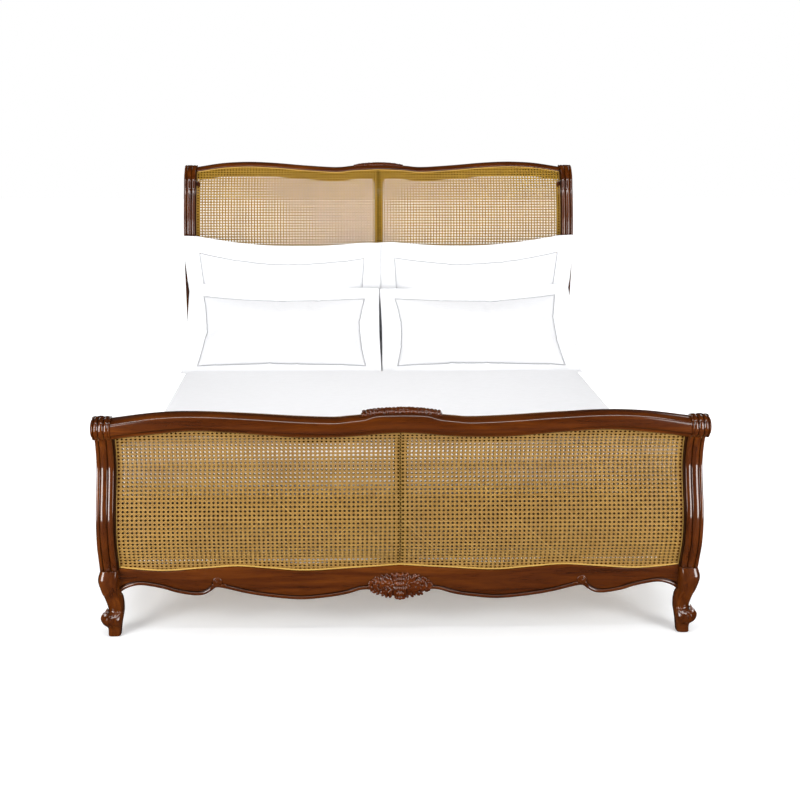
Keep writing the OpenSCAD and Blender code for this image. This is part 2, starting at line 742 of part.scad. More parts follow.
// Headboard's top rail
module head_top_rail() {
    color(wood) at_head() top_rail(head_top, head_low, head_reach, head_line, head_roll);
}
// Aprons, bored for the screws of the beam's shoes
module foot_apron() {
    color(wood) difference() {
        at_foot() apron(foot_line, foot_block);
        shoe_screw_holes(rail_y0);
    }
}
// Headboard's apron
module head_apron() {
    color(wood) difference() {
        at_head() apron(head_line, head_block);
        shoe_screw_holes(rail_y1);
    }
}
// Stiles
module foot_stile() { color(wood) at_foot() stile(foot_line, foot_stile_top, stile_low); }
// Headboard's stile
module head_stile() { color(wood) at_head() stile(head_line, head_stile_top, stile_low); }
// Lower and upper edge of a cane sheet: under the roll outside, up to the lip inside
cane_low = lift(apron_top, 0.5);
cane_drop = 0.8;
function cane_high(side, top, low) = side > 0 ? lift(low, -cane_drop) : lift(top, -lip - cane_drop);
// Cane sheets
module foot_cane(side) {
    color(straw) at_foot() cane(foot_line, side, cane_low, cane_high(side, foot_top, foot_low));
}
// Headboard's cane sheet
module head_cane(side) {
    color(straw) at_head() cane(head_line, side, cane_low, cane_high(side, head_top, head_low));
}
// Splines on both faces
module foot_splines() {
    color(straw) at_foot() for (side = [-1, 1])
        cane_edge(foot_line, side, cane_low, cane_high(side, foot_top, foot_low));
}
// Headboard's splines
module head_splines() {
    color(straw) at_head() for (side = [-1, 1])
        cane_edge(head_line, side, cane_low, cane_high(side, head_top, head_low));
}
// Plates on the ends of the side rails
module rail_hook_plates() {
    color(steel) each_corner() {
        hook_plate(foot_block);
        hook_plate(head_block);
    }
}
// Plates in the posts
module post_slot_plates() {
    color(steel) each_corner() {
        post_plate(foot_block);
        post_plate(head_block);
    }
}
// Screws of all plates
module plate_screws() {
    color(steel) each_corner() {
        plate_screw_pair(foot_block);
        plate_screw_pair(head_block);
    }
}
// Dowels of the roll blocks
module cap_dowels() {
    color(pale_wood) each_corner() {
        cap_dowel(dowel_key(foot_mid), foot_roll);
        cap_dowel(dowel_key(head_mid), head_roll);
    }
}
// Screws of both ledgers
module ledger_screws() { color(steel) for (s = [-1, 1], i = [0 : screw_n - 1]) ledger_screw(s, i); }
// Holes in an apron for the screws of a shoe
shoe_screw_l = 17;
shoe_screw_head = 3.2;
module shoe_screw_holes(face) {
    for (x = shoe_screw_x) translate([x, face, shoe_z]) rotate([90, 0, 0])
        cylinder(r = pilot_r, h = 2 * (shoe_screw_l - 1), center = true);
}
// Screws of both shoes
module shoe_screws() {
    color(steel) for (x = shoe_screw_x) {
        translate([x, rail_y0 + shoe_screw_head, shoe_z]) rotate([90, 0, 0])
            cylinder(r = shank_r, h = shoe_screw_l);
        translate([x, rail_y1 - shoe_screw_head, shoe_z]) rotate([-90, 0, 0])
            cylinder(r = shank_r, h = shoe_screw_l);
    }
}
// Crest carvings, at their distance outward
crest_out = [14, 104];
module foot_crest() { color(wood) at_foot() crest(foot_top, crest_out[0]); }
// Headboard's crest carving
module head_crest() { color(wood) at_head() crest(head_top, crest_out[1]); }

foot_post(-1);  // foot_post_left
foot_post(1);  // foot_post_right
foot_cap(-1);  // foot_cap_left
foot_cap(1);  // foot_cap_right
foot_top_rail();
foot_apron();
foot_stile();
foot_cane(1);  // foot_cane_outer
foot_cane(-1);  // foot_cane_inner
foot_splines();
foot_crest();  // foot_crest_carving
color(wood) at_foot() shell_drop(foot_line);  // foot_apron_carving
head_post(-1);  // head_post_left
head_post(1);  // head_post_right
head_cap(-1);  // head_cap_left
head_cap(1);  // head_cap_right
head_top_rail();
head_apron();
head_stile();
head_cane(1);  // head_cane_outer
head_cane(-1);  // head_cane_inner
head_splines();
head_crest();  // head_crest_carving
color(wood) side_rail(-1);  // side_rail_left
color(wood) side_rail(1);  // side_rail_right
color(pale_wood) ledger(-1);  // ledger_left
color(pale_wood) ledger(1);  // ledger_right
rail_hook_plates();
post_slot_plates();
plate_screws();
ledger_screws();
shoe_screws();
cap_dowels();
color(pale_wood) centre_beam();
color(steel) shoe(rail_y0, 1);  // beam_shoe_foot
color(steel) shoe(rail_y1, -1);  // beam_shoe_head
color(pale_wood) support_leg(0);  // support_leg_1
color(pale_wood) support_leg(1);  // support_leg_2
color(steel) levelling_foot(0);  // levelling_foot_1
color(steel) levelling_foot(1);  // levelling_foot_2
color(cotton) mattress();
color(cotton) bed_cover();
color(cotton) back_pillow(-1);  // pillow_back_left
color(cotton) back_pillow(1);  // pillow_back_right
color(cotton) front_pillow(-1);  // pillow_front_left
color(cotton) front_pillow(1);  // pillow_front_right
for (i = [1 : slat_count])
    color(pale_wood) slat(i - 1);
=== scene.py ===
"""Caned sleigh bed: mahogany frame with moulded and carved members, six-way woven cane and white bedding.

Outlines are in millimetres, as in part.scad: [outward, height] for side outlines and
[distance from the middle, height] for front outlines. Everything built from them is in metres.
"""
import math

import bmesh
import bpy
import numpy as np
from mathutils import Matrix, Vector


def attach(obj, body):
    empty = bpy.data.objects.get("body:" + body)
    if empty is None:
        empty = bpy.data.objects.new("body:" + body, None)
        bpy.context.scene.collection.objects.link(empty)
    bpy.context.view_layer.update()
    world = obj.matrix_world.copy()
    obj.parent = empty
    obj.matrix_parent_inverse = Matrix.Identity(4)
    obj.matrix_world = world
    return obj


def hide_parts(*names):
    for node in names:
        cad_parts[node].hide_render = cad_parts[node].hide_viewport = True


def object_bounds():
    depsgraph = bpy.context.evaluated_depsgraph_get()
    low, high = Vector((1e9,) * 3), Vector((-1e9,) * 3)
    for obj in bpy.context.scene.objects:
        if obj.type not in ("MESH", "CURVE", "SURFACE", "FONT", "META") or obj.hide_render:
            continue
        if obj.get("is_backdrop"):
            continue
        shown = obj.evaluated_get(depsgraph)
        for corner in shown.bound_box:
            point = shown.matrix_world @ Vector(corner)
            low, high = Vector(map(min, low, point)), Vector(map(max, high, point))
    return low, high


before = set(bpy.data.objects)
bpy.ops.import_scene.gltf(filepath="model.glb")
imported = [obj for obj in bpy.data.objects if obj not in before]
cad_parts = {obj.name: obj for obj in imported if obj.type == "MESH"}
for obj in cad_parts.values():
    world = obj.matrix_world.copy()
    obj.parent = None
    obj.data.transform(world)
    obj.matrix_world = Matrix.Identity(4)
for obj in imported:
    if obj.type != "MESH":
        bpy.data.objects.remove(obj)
cad_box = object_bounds()
MM = 0.001

# ------------------------------------------------------------------ outlines
# Half the width between the posts, a post's width and thickness, a roll block's radius
HALF_W, POST_W, POST_T, ROLL_R = 801.0, 54.0, 54.0, 33.0
# Half the gap between the cane sheets, how far the cane stops below a rail's top at the back,
# the apron's outward lean, and the height where posts end and legs begin
CANE_GAP, LIP, LEAN, BREAK_Z = 11.0, 18.0, 0.125, 197.0
POST_OUT = HALF_W + POST_W
BODY = "bed"
# Where the camera stands, in metres, how far it looks down and to the right in degrees, and its lens
EYE, LOOK_DOWN, LOOK_RIGHT = (-0.1685, -4.600, 1.535), 6.13, 1.05
LENS_MM, FILM_MM, SHIFT = 57.87, 36.0, (0.045, -0.205)

FOOT_MID = [[-82, 150], [-72, 197], [-52, 245], [-35, 285], [-27, 335], [-31, 385], [-42, 430],
            [-52, 475], [-55, 510], [-49, 550], [-38, 585], [-20, 617], [-6, 643], [4, 659]]
HEAD_MID = [[33, 150], [47, 197], [86, 320], [107, 430], [96, 580], [60, 750], [27, 905],
            [32, 1020], [52, 1120], [74, 1180], [91, 1215], [102, 1242]]
FOOT_TOP = [[0, 674], [70, 672], [105, 663], [150, 658], [194, 655], [300, 659.5], [430, 668.5],
            [569, 675], [680, 671], [800.5, 655]]
FOOT_LOW = [[0, 612], [70, 608.5], [105, 604], [150, 601], [194, 599.5], [300, 600.5], [430, 612],
            [569, 620.5], [680, 612], [800.5, 597]]
HEAD_TOP = [[0, 1241], [110, 1236], [160, 1230.5], [212, 1230], [330, 1237.5], [450, 1247.5],
            [545, 1252.5], [620, 1252], [700, 1246.5], [800.5, 1231]]
HEAD_LOW = [[x, z - 50] for x, z in HEAD_TOP]
APRON_TOP = [[0, 207], [120, 198], [267, 189], [370, 197], [464, 205], [560, 199], [661, 191],
             [730, 194], [801, 203]]
APRON_LOW = [[0, 118], [60, 126], [105, 130], [156, 115.5], [213, 106], [285, 100.5], [371, 108.5],
             [439, 120.5], [497, 135.5], [525, 140], [540, 130], [563, 117.5], [594, 116],
             [640, 124.5], [681, 137.5], [741, 148.5], [780, 140], [801, 126]]
LEG_FRONT = [[855, 197], [862, 170], [856, 140], [845, 108], [837, 76], [843, 70], [857, 55],
             [851, 39], [838, 24], [837, 0]]
LEG_INNER = [[801, 0], [798, 30], [792, 60], [791, 92], [794, 116], [801, 128]]


def smooth(points, n=6):
    """Catmull-Rom line through points, n steps between two of them."""
    p = np.array(points, float)
    out = []
    for i in range(len(p) - 1):
        a, b, c, d = p[max(i - 1, 0)], p[i], p[i + 1], p[min(i + 2, len(p) - 1)]
        for k in range(n):
            t = k / n
            out.append(0.5 * (2 * b + (c - a) * t + (2 * a - 5 * b + 4 * c - d) * t * t
                              + (3 * b - a - 3 * c + d) * t ** 3))
    return np.array(out + [p[-1]])


def unit(rows):
    """Every row made one unit long."""
    return rows / np.linalg.norm(rows, axis=1, keepdims=True)


def normals_of(line):
    """Unit normals of a side outline, pointing outward from the bed."""
    v = np.gradient(line, axis=0)
    return unit(np.column_stack([v[:, 1], -v[:, 0]]))


def beside(line, d):
    """A side outline moved outward by d."""
    return line + d * normals_of(line)


def at_x(line, x):
    """Height of a front outline at x."""
    return np.interp(np.abs(x), line[:, 0], line[:, 1])


def out_at(line, z):
    """Outward place of a side outline at height z."""
    return np.interp(z, line[:, 1], line[:, 0])


apron_top, apron_low = smooth(APRON_TOP, 6), smooth(APRON_LOW, 6)


class Board:
    """The footboard or the headboard. Its points are [x, outward, height] in millimetres.

    y is where it stands and way its outward direction; mid is the S-curve, roll the roll blocks' axis, wrap
    the height where posts begin to wrap round them, top and low the top rail's edges, and reach how far
    out that rail comes in its middle and at its highest.
    """

    def __init__(self, name, y, way, mid, roll, wrap, top, low, reach, inner_face):
        self.name, self.y, self.way, self.roll, self.wrap = name, y, way, roll, wrap
        self.panel = smooth(mid, 8)
        self.line = self.panel[8:]
        self.top, self.low = smooth(top, 8), smooth(low, 8)
        self.reach, self.inner_face = reach, inner_face
        self.mid_low = self.line[0][0]
        self.face = self.mid_low + 17
        d = np.linalg.norm(np.diff(self.panel, axis=0), axis=1)
        self.arc = np.concatenate([[0], np.cumsum(d)])

    def world(self, p):
        p = np.asarray(p, float).reshape(-1, 3)
        return np.column_stack([p[:, 0], self.y + self.way * p[:, 1], p[:, 2]]) * MM

    def front(self, z):
        """Outward place of the apron's face at height z."""
        return self.face + LEAN * (np.asarray(z, float) - BREAK_Z)


foot = Board("foot", y=-1100, way=-1, mid=FOOT_MID, roll=(17, 629), wrap=588, top=FOOT_TOP, low=FOOT_LOW,
             reach=(44, 50), inner_face=-118)
head = Board("head", y=1010, way=1, mid=HEAD_MID, roll=(100, 1206), wrap=1140, top=HEAD_TOP, low=HEAD_LOW,
             reach=(132, 140), inner_face=18)
boards = (foot, head)


# ------------------------------------------------------------------ mesh tools
def volume(v, f):
    """A closed mesh's volume, which is below zero when the faces look inward."""
    t = np.array([(q[0], q[i], q[i + 1]) for q in f for i in range(1, len(q) - 1)])
    return np.einsum("ij,ij->i", v[t[:, 0]], np.cross(v[t[:, 1]], v[t[:, 2]])).sum() / 6


def grid_faces(n, m, ring=True, closed=False):
    """Quads over n rows of m points.

    With ring the ends of every row are joined, and with closed the last row is joined to the first.
    """
    i, j = np.meshgrid(np.arange(n if closed else n - 1), np.arange(m if ring else m - 1), indexing="ij")
    right, above = (j + 1) % m, (i + 1) % n
    quads = np.stack([i * m + j, i * m + right, above * m + right, above * m + j], -1)
    return quads.reshape(-1, 4).tolist()


def mesh_object(name, verts, faces):
    """A new object in the scene from points and faces."""
    mesh = bpy.data.meshes.new(name)
    mesh.from_pydata(np.asarray(verts, float).tolist(), [], faces)
    obj = bpy.data.objects.new(name, mesh)
    bpy.context.scene.collection.objects.link(obj)
    return obj


class Shape:
    """Collects closed parts of one mesh, each turned so that its faces look outward."""

    def __init__(self):
        self.v, self.f, self.dark, self.tone, self.n = [], [], [], [], 0

    def add(self, v, f, dark=0.0, tone=0.0):
        v = np.asarray(v, float).reshape(-1, 3)
        f = [tuple(int(i) for i in q) for q in f]
        if volume(v, f) < 0:
            f = [q[::-1] for q in f]
        self.v.append(v)
        self.f += [tuple(i + self.n for i in q) for q in f]
        self.dark.append(np.broadcast_to(np.asarray(dark, float).reshape(-1), (len(v),)))
        self.tone.append(np.broadcast_to(np.asarray(tone, float).reshape(-1), (len(v),)))
        self.n += len(v)
        return self

    def rings(self, rings, dark=0.0, tone=0.0):
        """Closed sections joined one after another, with a cap on each end."""
        r = np.asarray(rings, float)
        n, m = r.shape[:2]
        caps = [list(range(m))[::-1], [(n - 1) * m + a for a in range(m)]]
        return self.add(r, grid_faces(n, m) + caps, dark, tone)

    def strip(self, path, normal, section, dark=0.0, tone=0.0, taper=None):
        """A section [across, up] swept along a path whose surface normal is given."""
        p = np.asarray(path, float)
        t = unit(np.gradient(p, axis=0))
        side = unit(np.cross(t, normal))
        up = np.cross(side, t)
        k = np.ones(len(p)) if taper is None else taper
        spread = side[:, None] * section[None, :, :1] + up[:, None] * section[None, :, 1:]
        return self.rings(p[:, None] + k[:, None, None] * spread, dark, tone)

    def ball(self, centre, size, turn=None, shape=None, u=14, w=8, dark=0.0):
        """An ellipsoid of half sizes size, reshaped in its unit frame, then turned and placed."""
        a = np.linspace(0, 2 * math.pi, u, endpoint=False)
        b = np.linspace(0, math.pi, w + 1)[1:-1]
        ring = np.array([[[math.sin(q) * math.cos(p), math.sin(q) * math.sin(p), math.cos(q)]
                          for p in a] for q in b])
        v = np.concatenate([[[0, 0, 1]], ring.reshape(-1, 3), [[0, 0, -1]]])
        if shape is not None:
            v = shape(v)
        v = v * np.asarray(size, float)
        if turn is not None:
            v = v @ turn.T
        v = v + np.asarray(centre, float)
        # the two poles are the first and the last point, with w - 1 rings of u points between them
        last, low = 1 + u * (w - 1), 1 + u * (w - 2)
        f = [(0, 1 + j, 1 + (j + 1) % u) for j in range(u)]
        f += [[1 + q[k] for k in (0, 3, 2, 1)] for q in grid_faces(w - 1, u)]
        f += [(last, low + (j + 1) % u, low + j) for j in range(u)]
        return self.add(v, f, dark)

    def build(self, name, material, slot, nodes=(), board=None):
        """The piece itself; a board's own points are in millimetres, others already in metres."""
        v, f = np.concatenate(self.v), self.f
        if board is not None:
            v = board.world(v)
            if board.way < 0:
                f = [q[::-1] for q in f]
        obj = mesh_object(name, v, f)
        mesh = obj.data
        mesh.validate()
        # dark carries painted shade for recesses, backs and hidden faces, which the materials read; tone
        # shifts a strand's colour
        for key, values in (("dark", self.dark), ("tone", self.tone)):
            attribute = mesh.attributes.new(key, "FLOAT", "POINT")
            attribute.data.foreach_set("value", np.concatenate(values).astype(np.float32))
        mesh.shade_smooth()
        mesh.materials.append(material)
        return adopt(obj, nodes)


def adopt(obj, nodes=()):
    """Puts a visual piece on the bed's body, in place of the CAD's nodes."""
    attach(obj, BODY)
    if nodes:
        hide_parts(*nodes)
    return obj


def subdivide(obj):
    """One round of subdivision, applied later with apply_modifiers."""
    sub = obj.modifiers.new("sub", "SUBSURF")
    sub.levels = sub.render_levels = 1


def apply_modifiers(obj):
    """Bakes the modifiers into the object's mesh and drops them."""
    bpy.context.view_layer.update()
    deps = bpy.context.evaluated_depsgraph_get()
    mesh = bpy.data.meshes.new_from_object(obj.evaluated_get(deps), depsgraph=deps)
    old = obj.data
    obj.modifiers.clear()
    obj.data = mesh
    mesh.name = obj.name
    bpy.data.meshes.remove(old)


def fuse(obj, voxel, rounds, factor=0.5):
    """Joins overlapping parts into one carved surface."""
    m = obj.modifiers.new("fuse", "REMESH")
    m.mode, m.voxel_size, m.use_smooth_shade = "VOXEL", voxel, True
    s = obj.modifiers.new("soften", "SMOOTH")
    s.iterations, s.factor = rounds, factor
    apply_modifiers(obj)


def sharp(obj, degrees):
    """Smooth shading, with an edge wherever two faces meet at more than this angle."""
    mesh = obj.data
    bm = bmesh.new()
    bm.from_mesh(mesh)
    limit = math.radians(degrees)
    for e in bm.edges:
        e.smooth = not (len(e.link_faces) == 2 and e.calc_face_angle(0) > limit)
    bm.to_mesh(mesh)
    bm.free()


# ------------------------------------------------------------------ materials
class Nodes:
    """Short calls for a node material: sockets get a value or a link."""

    def __init__(self, name):
        self.mat = bpy.data.materials.new(name)
        self.mat.use_nodes = True
        self.tree = self.mat.node_tree
        self.bsdf = self.tree.nodes["Principled BSDF"]
        self.coords = self.node("ShaderNodeTexCoord").outputs["Object"]

    def node(self, kind):
        return self.tree.nodes.new(kind)

    def put(self, socket, value):
        if isinstance(value, bpy.types.NodeSocket):
            self.tree.links.new(value, socket)
        else:
            socket.default_value = value

    def scaled(self, scale, turn=(0, 0, 0)):
        n = self.node("ShaderNodeMapping")
        self.put(n.inputs["Vector"], self.coords)
        n.inputs["Scale"].default_value = scale
        n.inputs["Rotation"].default_value = turn
        return n.outputs["Vector"]

    def noise(self, vector, scale=1.0, detail=3.0, rough=0.55, distort=0.0):
        n = self.node("ShaderNodeTexNoise")
        self.put(n.inputs["Vector"], vector)
        values = {"Scale": scale, "Detail": detail, "Roughness": rough, "Distortion": distort}
        for key, value in values.items():
            n.inputs[key].default_value = value
        return n.outputs["Fac"]

    def ramp(self, value, stops):
        n = self.node("ShaderNodeValToRGB")
        self.put(n.inputs["Fac"], value)
        while len(n.color_ramp.elements) < len(stops):
            n.color_ramp.elements.new(0.5)
        for e, (place, colour) in zip(n.color_ramp.elements, stops):
            e.position = place
            e.color = (*colour, 1)
        return n.outputs["Color"]

    def span(self, value, low, high, out_low, out_high):
        n = self.node("ShaderNodeMapRange")
        self.put(n.inputs["Value"], value)
        for key, v in (("From Min", low), ("From Max", high), ("To Min", out_low), ("To Max", out_high)):
            n.inputs[key].default_value = v
        return n.outputs["Result"]

    def math(self, op, a, b=0.0):
        n = self.node("ShaderNodeMath")
        n.operation = op
        self.put(n.inputs[0], a)
        self.put(n.inputs[1], b)
        return n.outputs[0]

    def mix(self, fac, a, b):
        """Two colours mixed: the node's inputs 6 and 7 and its output 2 are the coloured ones."""
        n = self.node("ShaderNodeMix")
        n.data_type = "RGBA"
        self.put(n.inputs[0], fac)
        for socket, colour in ((n.inputs[6], a), (n.inputs[7], b)):
            self.put(socket, colour if isinstance(colour, bpy.types.NodeSocket) else (*colour, 1))
        return n.outputs[2]

    def attribute(self, name):
        n = self.node("ShaderNodeAttribute")
        n.attribute_name = name
        return n.outputs["Fac"]

    def bump(self, height, strength, distance=0.001, normal=None):
        n = self.node("ShaderNodeBump")
        self.put(n.inputs["Height"], height)
        n.inputs["Strength"].default_value = strength
        n.inputs["Distance"].default_value = distance
        if normal is not None:
            self.put(n.inputs["Normal"], normal)
        return n.outputs["Normal"]

    def finish(self, **sockets):
        for key, value in sockets.items():
            self.put(self.bsdf.inputs[key.replace("_", " ")], value)
        return self.mat


def mahogany(name, grain, warm=1.0):
    """Polished mahogany; grain is the axis the fibres run along. Where the dark attribute is set, painted
    shade darkens it and thins its coat.
    """
    m = Nodes(name)
    across, along = 34.0, 2.2
    scale = [across] * 3
    scale["xyz".index(grain)] = along
    fibre = m.noise(m.scaled(scale), 1.0, 6.0, 0.62, 0.6)
    fine = m.noise(m.scaled([s * 9 for s in scale]), 1.0, 3.0, 0.6)
    cloud = m.noise(m.coords, 5.0, 2.0, 0.5)
    pores = m.noise(m.scaled([s * 26 if s == across else 30 for s in scale]), 1.0, 1.0, 0.5)
    base = m.ramp(fibre, [(0.30, (0.028 * warm, 0.0052, 0.0002)), (0.48, (0.070 * warm, 0.0145, 0.0004)),
                          (0.62, (0.108 * warm, 0.0245, 0.0007)), (0.80, (0.158 * warm, 0.0400, 0.0016))])
    base = m.mix(m.span(cloud, 0.35, 0.68, 0.0, 0.35), base, (0.048, 0.0090, 0.0006))
    base = m.mix(m.span(fine, 0.45, 0.75, 0.0, 0.32), base, (0.028, 0.0054, 0.0005))
    base = m.mix(m.span(pores, 0.60, 0.70, 0.0, 0.40), base, (0.013, 0.0030, 0.0004))
    # painted shade: recesses, grooves and hidden backs darkened where the dark attribute is set, the coat
    # thinner there too
    base = m.mix(m.attribute("dark"), base, (0.0045, 0.0012, 0.0003))
    rough = m.span(m.noise(m.scaled([s * 2 for s in scale]), 1.0, 3.0), 0.3, 0.7, 0.34, 0.46)
    relief = m.bump(m.math("ADD", m.math("MULTIPLY", pores, 0.5), fine), 0.06, 0.0005)
    return m.finish(Base_Color=base, Roughness=rough, Normal=relief, Coat_Roughness=0.10,
                    Coat_Weight=m.span(m.attribute("dark"), 0.0, 1.0, 0.9, 0.15), Coat_IOR=1.72,
                    Specular_IOR_Level=0.06)


def straw(name, tint):
    """Natural cane: glossy golden skin with a different tone on every strand, and painted shade along the
    strands' undersides.
    """
    m = Nodes(name)
    tone = m.attribute("tone")
    blotch = m.noise(m.coords, 9.0, 4.0, 0.6)
    flecks = m.noise(m.coords, 260.0, 2.0, 0.6)
    shades = ((0.38, 0.215, 0.040), (0.50, 0.305, 0.066), (0.62, 0.405, 0.105), (0.32, 0.180, 0.040))
    dull, plain, bright, stained = (tuple(c * t for c, t in zip(shade, tint)) for shade in shades)
    base = m.ramp(m.span(tone, -1.0, 1.0, 0.0, 1.0), [(0.0, dull), (0.5, plain), (1.0, bright)])
    base = m.mix(m.span(blotch, 0.40, 0.72, 0.0, 0.30), base, stained)
    base = m.mix(m.span(flecks, 0.60, 0.75, 0.0, 0.40), base, (0.16, 0.080, 0.024))
    # painted shade on a strand's flat underside, where the dark attribute is set
    base = m.mix(m.math("POWER", m.attribute("dark"), 3.0), base, (0.030, 0.0150, 0.0045))
    return m.finish(Base_Color=base, Roughness=m.span(flecks, 0.3, 0.7, 0.36, 0.55),
                    Normal=m.bump(flecks, 0.25, 0.0004), Specular_IOR_Level=0.45, Coat_Weight=0.15,
                    Coat_Roughness=0.3)


def planed(name, grain):
    """Planed, unpolished pale hardwood of the hidden base."""
    m = Nodes(name)
    scale = [46.0] * 3
    scale["xyz".index(grain)] = 3.0
    fibre = m.noise(m.scaled(scale), 1.0, 5.0, 0.6, 0.5)
    ring = m.noise(m.scaled([s * 5 for s in scale]), 1.0, 3.0)
    base = m.ramp(fibre, [(0.30, (0.30, 0.185, 0.095)), (0.52, (0.45, 0.305, 0.165)),
                          (0.75, (0.56, 0.405, 0.235))])
    base = m.mix(m.span(ring, 0.5, 0.8, 0.0, 0.35), base, (0.27, 0.155, 0.075))
    return m.finish(Base_Color=base, Roughness=m.span(fibre, 0.3, 0.7, 0.50, 0.68),
                    Normal=m.bump(ring, 0.22, 0.0005), Specular_IOR_Level=0.35)


def metal(name):
    """Zinc-plated steel with a fine brushed grain."""
    m = Nodes(name)
    brushed = m.noise(m.scaled((40, 40, 900)), 1.0, 2.0)
    dull = m.noise(m.coords, 60.0, 3.0)
    base = m.ramp(dull, [(0.3, (0.34, 0.34, 0.345)), (0.7, (0.52, 0.52, 0.515))])
    return m.finish(Base_Color=base, Metallic=1.0, Roughness=m.span(dull, 0.3, 0.7, 0.28, 0.46),
                    Normal=m.bump(brushed, 0.12, 0.0003))


def cloth(name, colour, weave, sheen, soft, painted_shade_colour=None):
    """Woven cotton: two crossed thread waves, with faint creases under them, and a darker colour as painted
    shade where the dark attribute is set.
    """
    m = Nodes(name)
    waves = []
    for turn in ((0, 0, 0), (math.radians(90), math.radians(90), 0)):
        n = m.node("ShaderNodeTexWave")
        m.put(n.inputs["Vector"], m.scaled((weave, weave, weave), turn))
        n.inputs["Scale"].default_value = 1.0
        n.inputs["Distortion"].default_value = 0.6
        n.inputs["Detail"].default_value = 1.0
        waves.append(n.outputs["Fac"])
    threads = m.math("MULTIPLY", waves[0], waves[1])
    crease = m.noise(m.coords, 14.0, 4.0, 0.55, 0.4)
    slub = m.noise(m.scaled((30, 400, 400)), 1.0, 2.0)
    lighter = tuple(min(1.0, c * 1.02) for c in colour)
    darker = tuple(c * 0.965 for c in colour)
    base = m.mix(m.span(slub, 0.35, 0.65, 0.0, 1.0), darker, lighter)
    # painted shade: a darker colour where the dark attribute is set
    base = m.mix(m.attribute("dark"), base, painted_shade_colour or tuple(c * 0.60 for c in colour))
    first = m.bump(crease, soft, 0.006)
    return m.finish(Base_Color=base, Roughness=m.span(slub, 0.3, 0.7, 0.80, 0.92),
                    Normal=m.bump(threads, 0.18, 0.0003, first), Sheen_Weight=sheen, Sheen_Roughness=0.45,
                    Specular_IOR_Level=0.25)


wood_x, wood_y, wood_z = (mahogany(f"mahogany_{a}", a) for a in "xyz")
carved_wood = mahogany("mahogany_carved", "x", warm=1.15)
cane_skin = straw("cane_skin", (0.86, 0.78, 0.72))
head_cane_skin = straw("head_cane_skin", (0.94, 0.85, 0.36))
spline_skin = straw("cane_spline", (0.92, 0.88, 0.80))
pale_x, pale_y, pale_z = (planed(f"pale_wood_{a}", a) for a in "xyz")
steel = metal("plated_steel")
linen = cloth("white_linen", (0.79, 0.795, 0.815), weave=1500.0, sheen=0.25, soft=0.10)
# the ticking's darker colour is painted shade on the mattress's border panels, seen through the footboard's
# cane
ticking = cloth("mattress_ticking", (0.84, 0.835, 0.82), weave=900.0, sheen=0.10, soft=0.12,
                painted_shade_colour=(0.17, 0.155, 0.14))
# a darker copy of the mahogany: painted shade for the stiles seen through the cane
shaded_wood = mahogany("mahogany_unpolished", "z", warm=0.35)
# a real cord, its grey a painted shade line along the seams that the bright light would wash out
piping = cloth("grey_piping", (0.40, 0.40, 0.42), weave=1500.0, sheen=0.10, soft=0.05)


# ------------------------------------------------------------------ camera, room and lights
def set_camera():
    """Camera in front of the footboard, shifted so that the picture is framed like the photo."""
    data = bpy.data.cameras.new("camera")
    data.lens, data.sensor_width = LENS_MM, FILM_MM
    data.shift_x, data.shift_y = SHIFT
    cam = bpy.data.objects.new("camera", data)
    cam.location = EYE
    cam.rotation_euler = (math.radians(90 - LOOK_DOWN), 0, math.radians(-LOOK_RIGHT))
    bpy.context.scene.collection.objects.link(cam)
    bpy.context.scene.camera = cam


def set_world(backdrop, fill, room):
    """White backdrop for the camera, a soft fill for matt surfaces and a dim room in the reflections."""
    world = bpy.data.worlds.new("studio")
    bpy.context.scene.world = world
    world.use_nodes = True
    tree = world.node_tree
    path = tree.nodes.new("ShaderNodeLightPath")
    shown = tree.nodes["Background"]
    lit, mirrored = (tree.nodes.new("ShaderNodeBackground") for _ in range(2))
    for node, power in ((shown, backdrop), (lit, fill), (mirrored, room)):
        node.inputs["Color"].default_value = (1, 1, 1, 1)
        node.inputs["Strength"].default_value = power
    last = lit
    for ray, node in (("Is Glossy Ray", mirrored), ("Is Camera Ray", shown)):
        mix = tree.nodes.new("ShaderNodeMixShader")
        tree.links.new(path.outputs[ray], mix.inputs[0])
        tree.links.new(last.outputs[0], mix.inputs[1])
        tree.links.new(node.outputs[0], mix.inputs[2])
        last = mix
    tree.links.new(last.outputs[0], tree.nodes["World Output"].inputs["Surface"])


def softbox(name, place, target, size, power, mirrored):
    """Soft light that the camera doesn't see; mirrored ones show in the polish."""
    data = bpy.data.lights.new(name, "AREA")
    data.shape, data.size, data.size_y, data.energy = "RECTANGLE", size[0], size[1], power
    lamp = bpy.data.objects.new(name, data)
    lamp.location = place
    lamp.rotation_euler = (Vector(target) - Vector(place)).to_track_quat("-Z", "Y").to_euler()
    lamp.visible_camera = False
    lamp.visible_glossy = mirrored
    bpy.context.scene.collection.objects.link(lamp)


def set_floor():
    """White ground that glows more the further it is from the bed."""
    places = np.linspace(-15.0, 15.0, 25)
    floor = mesh_object("floor", [(x, y, -0.0004) for y in places for x in places], grid_faces(25, 25, False))
    m = Nodes("studio_floor")
    grain = m.noise(m.coords, 3.0, 3.0)
    tone = m.mix(m.span(grain, 0.3, 0.7, 0.0, 1.0), (0.86, 0.88, 0.90), (0.87, 0.89, 0.91))
    place = m.node("ShaderNodeSeparateXYZ")
    m.put(place.inputs[0], m.coords)
    beside_bed = m.span(m.math("ABSOLUTE", place.outputs["X"]), 0.80, 1.90, 0.0, 1.0)
    beyond_ends = m.span(m.math("ABSOLUTE", place.outputs["Y"]), 1.00, 1.80, 0.0, 1.0)
    glow = m.span(m.math("MAXIMUM", beside_bed, beyond_ends), 0.0, 1.0, 0.26, 1.0)
    m.finish(Base_Color=tone, Roughness=0.85, Emission_Color=(1, 1, 1, 1), Emission_Strength=glow,
             Specular_IOR_Level=0.1)
    floor.data.materials.append(m.mat)
    floor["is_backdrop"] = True
    floor.visible_glossy = False


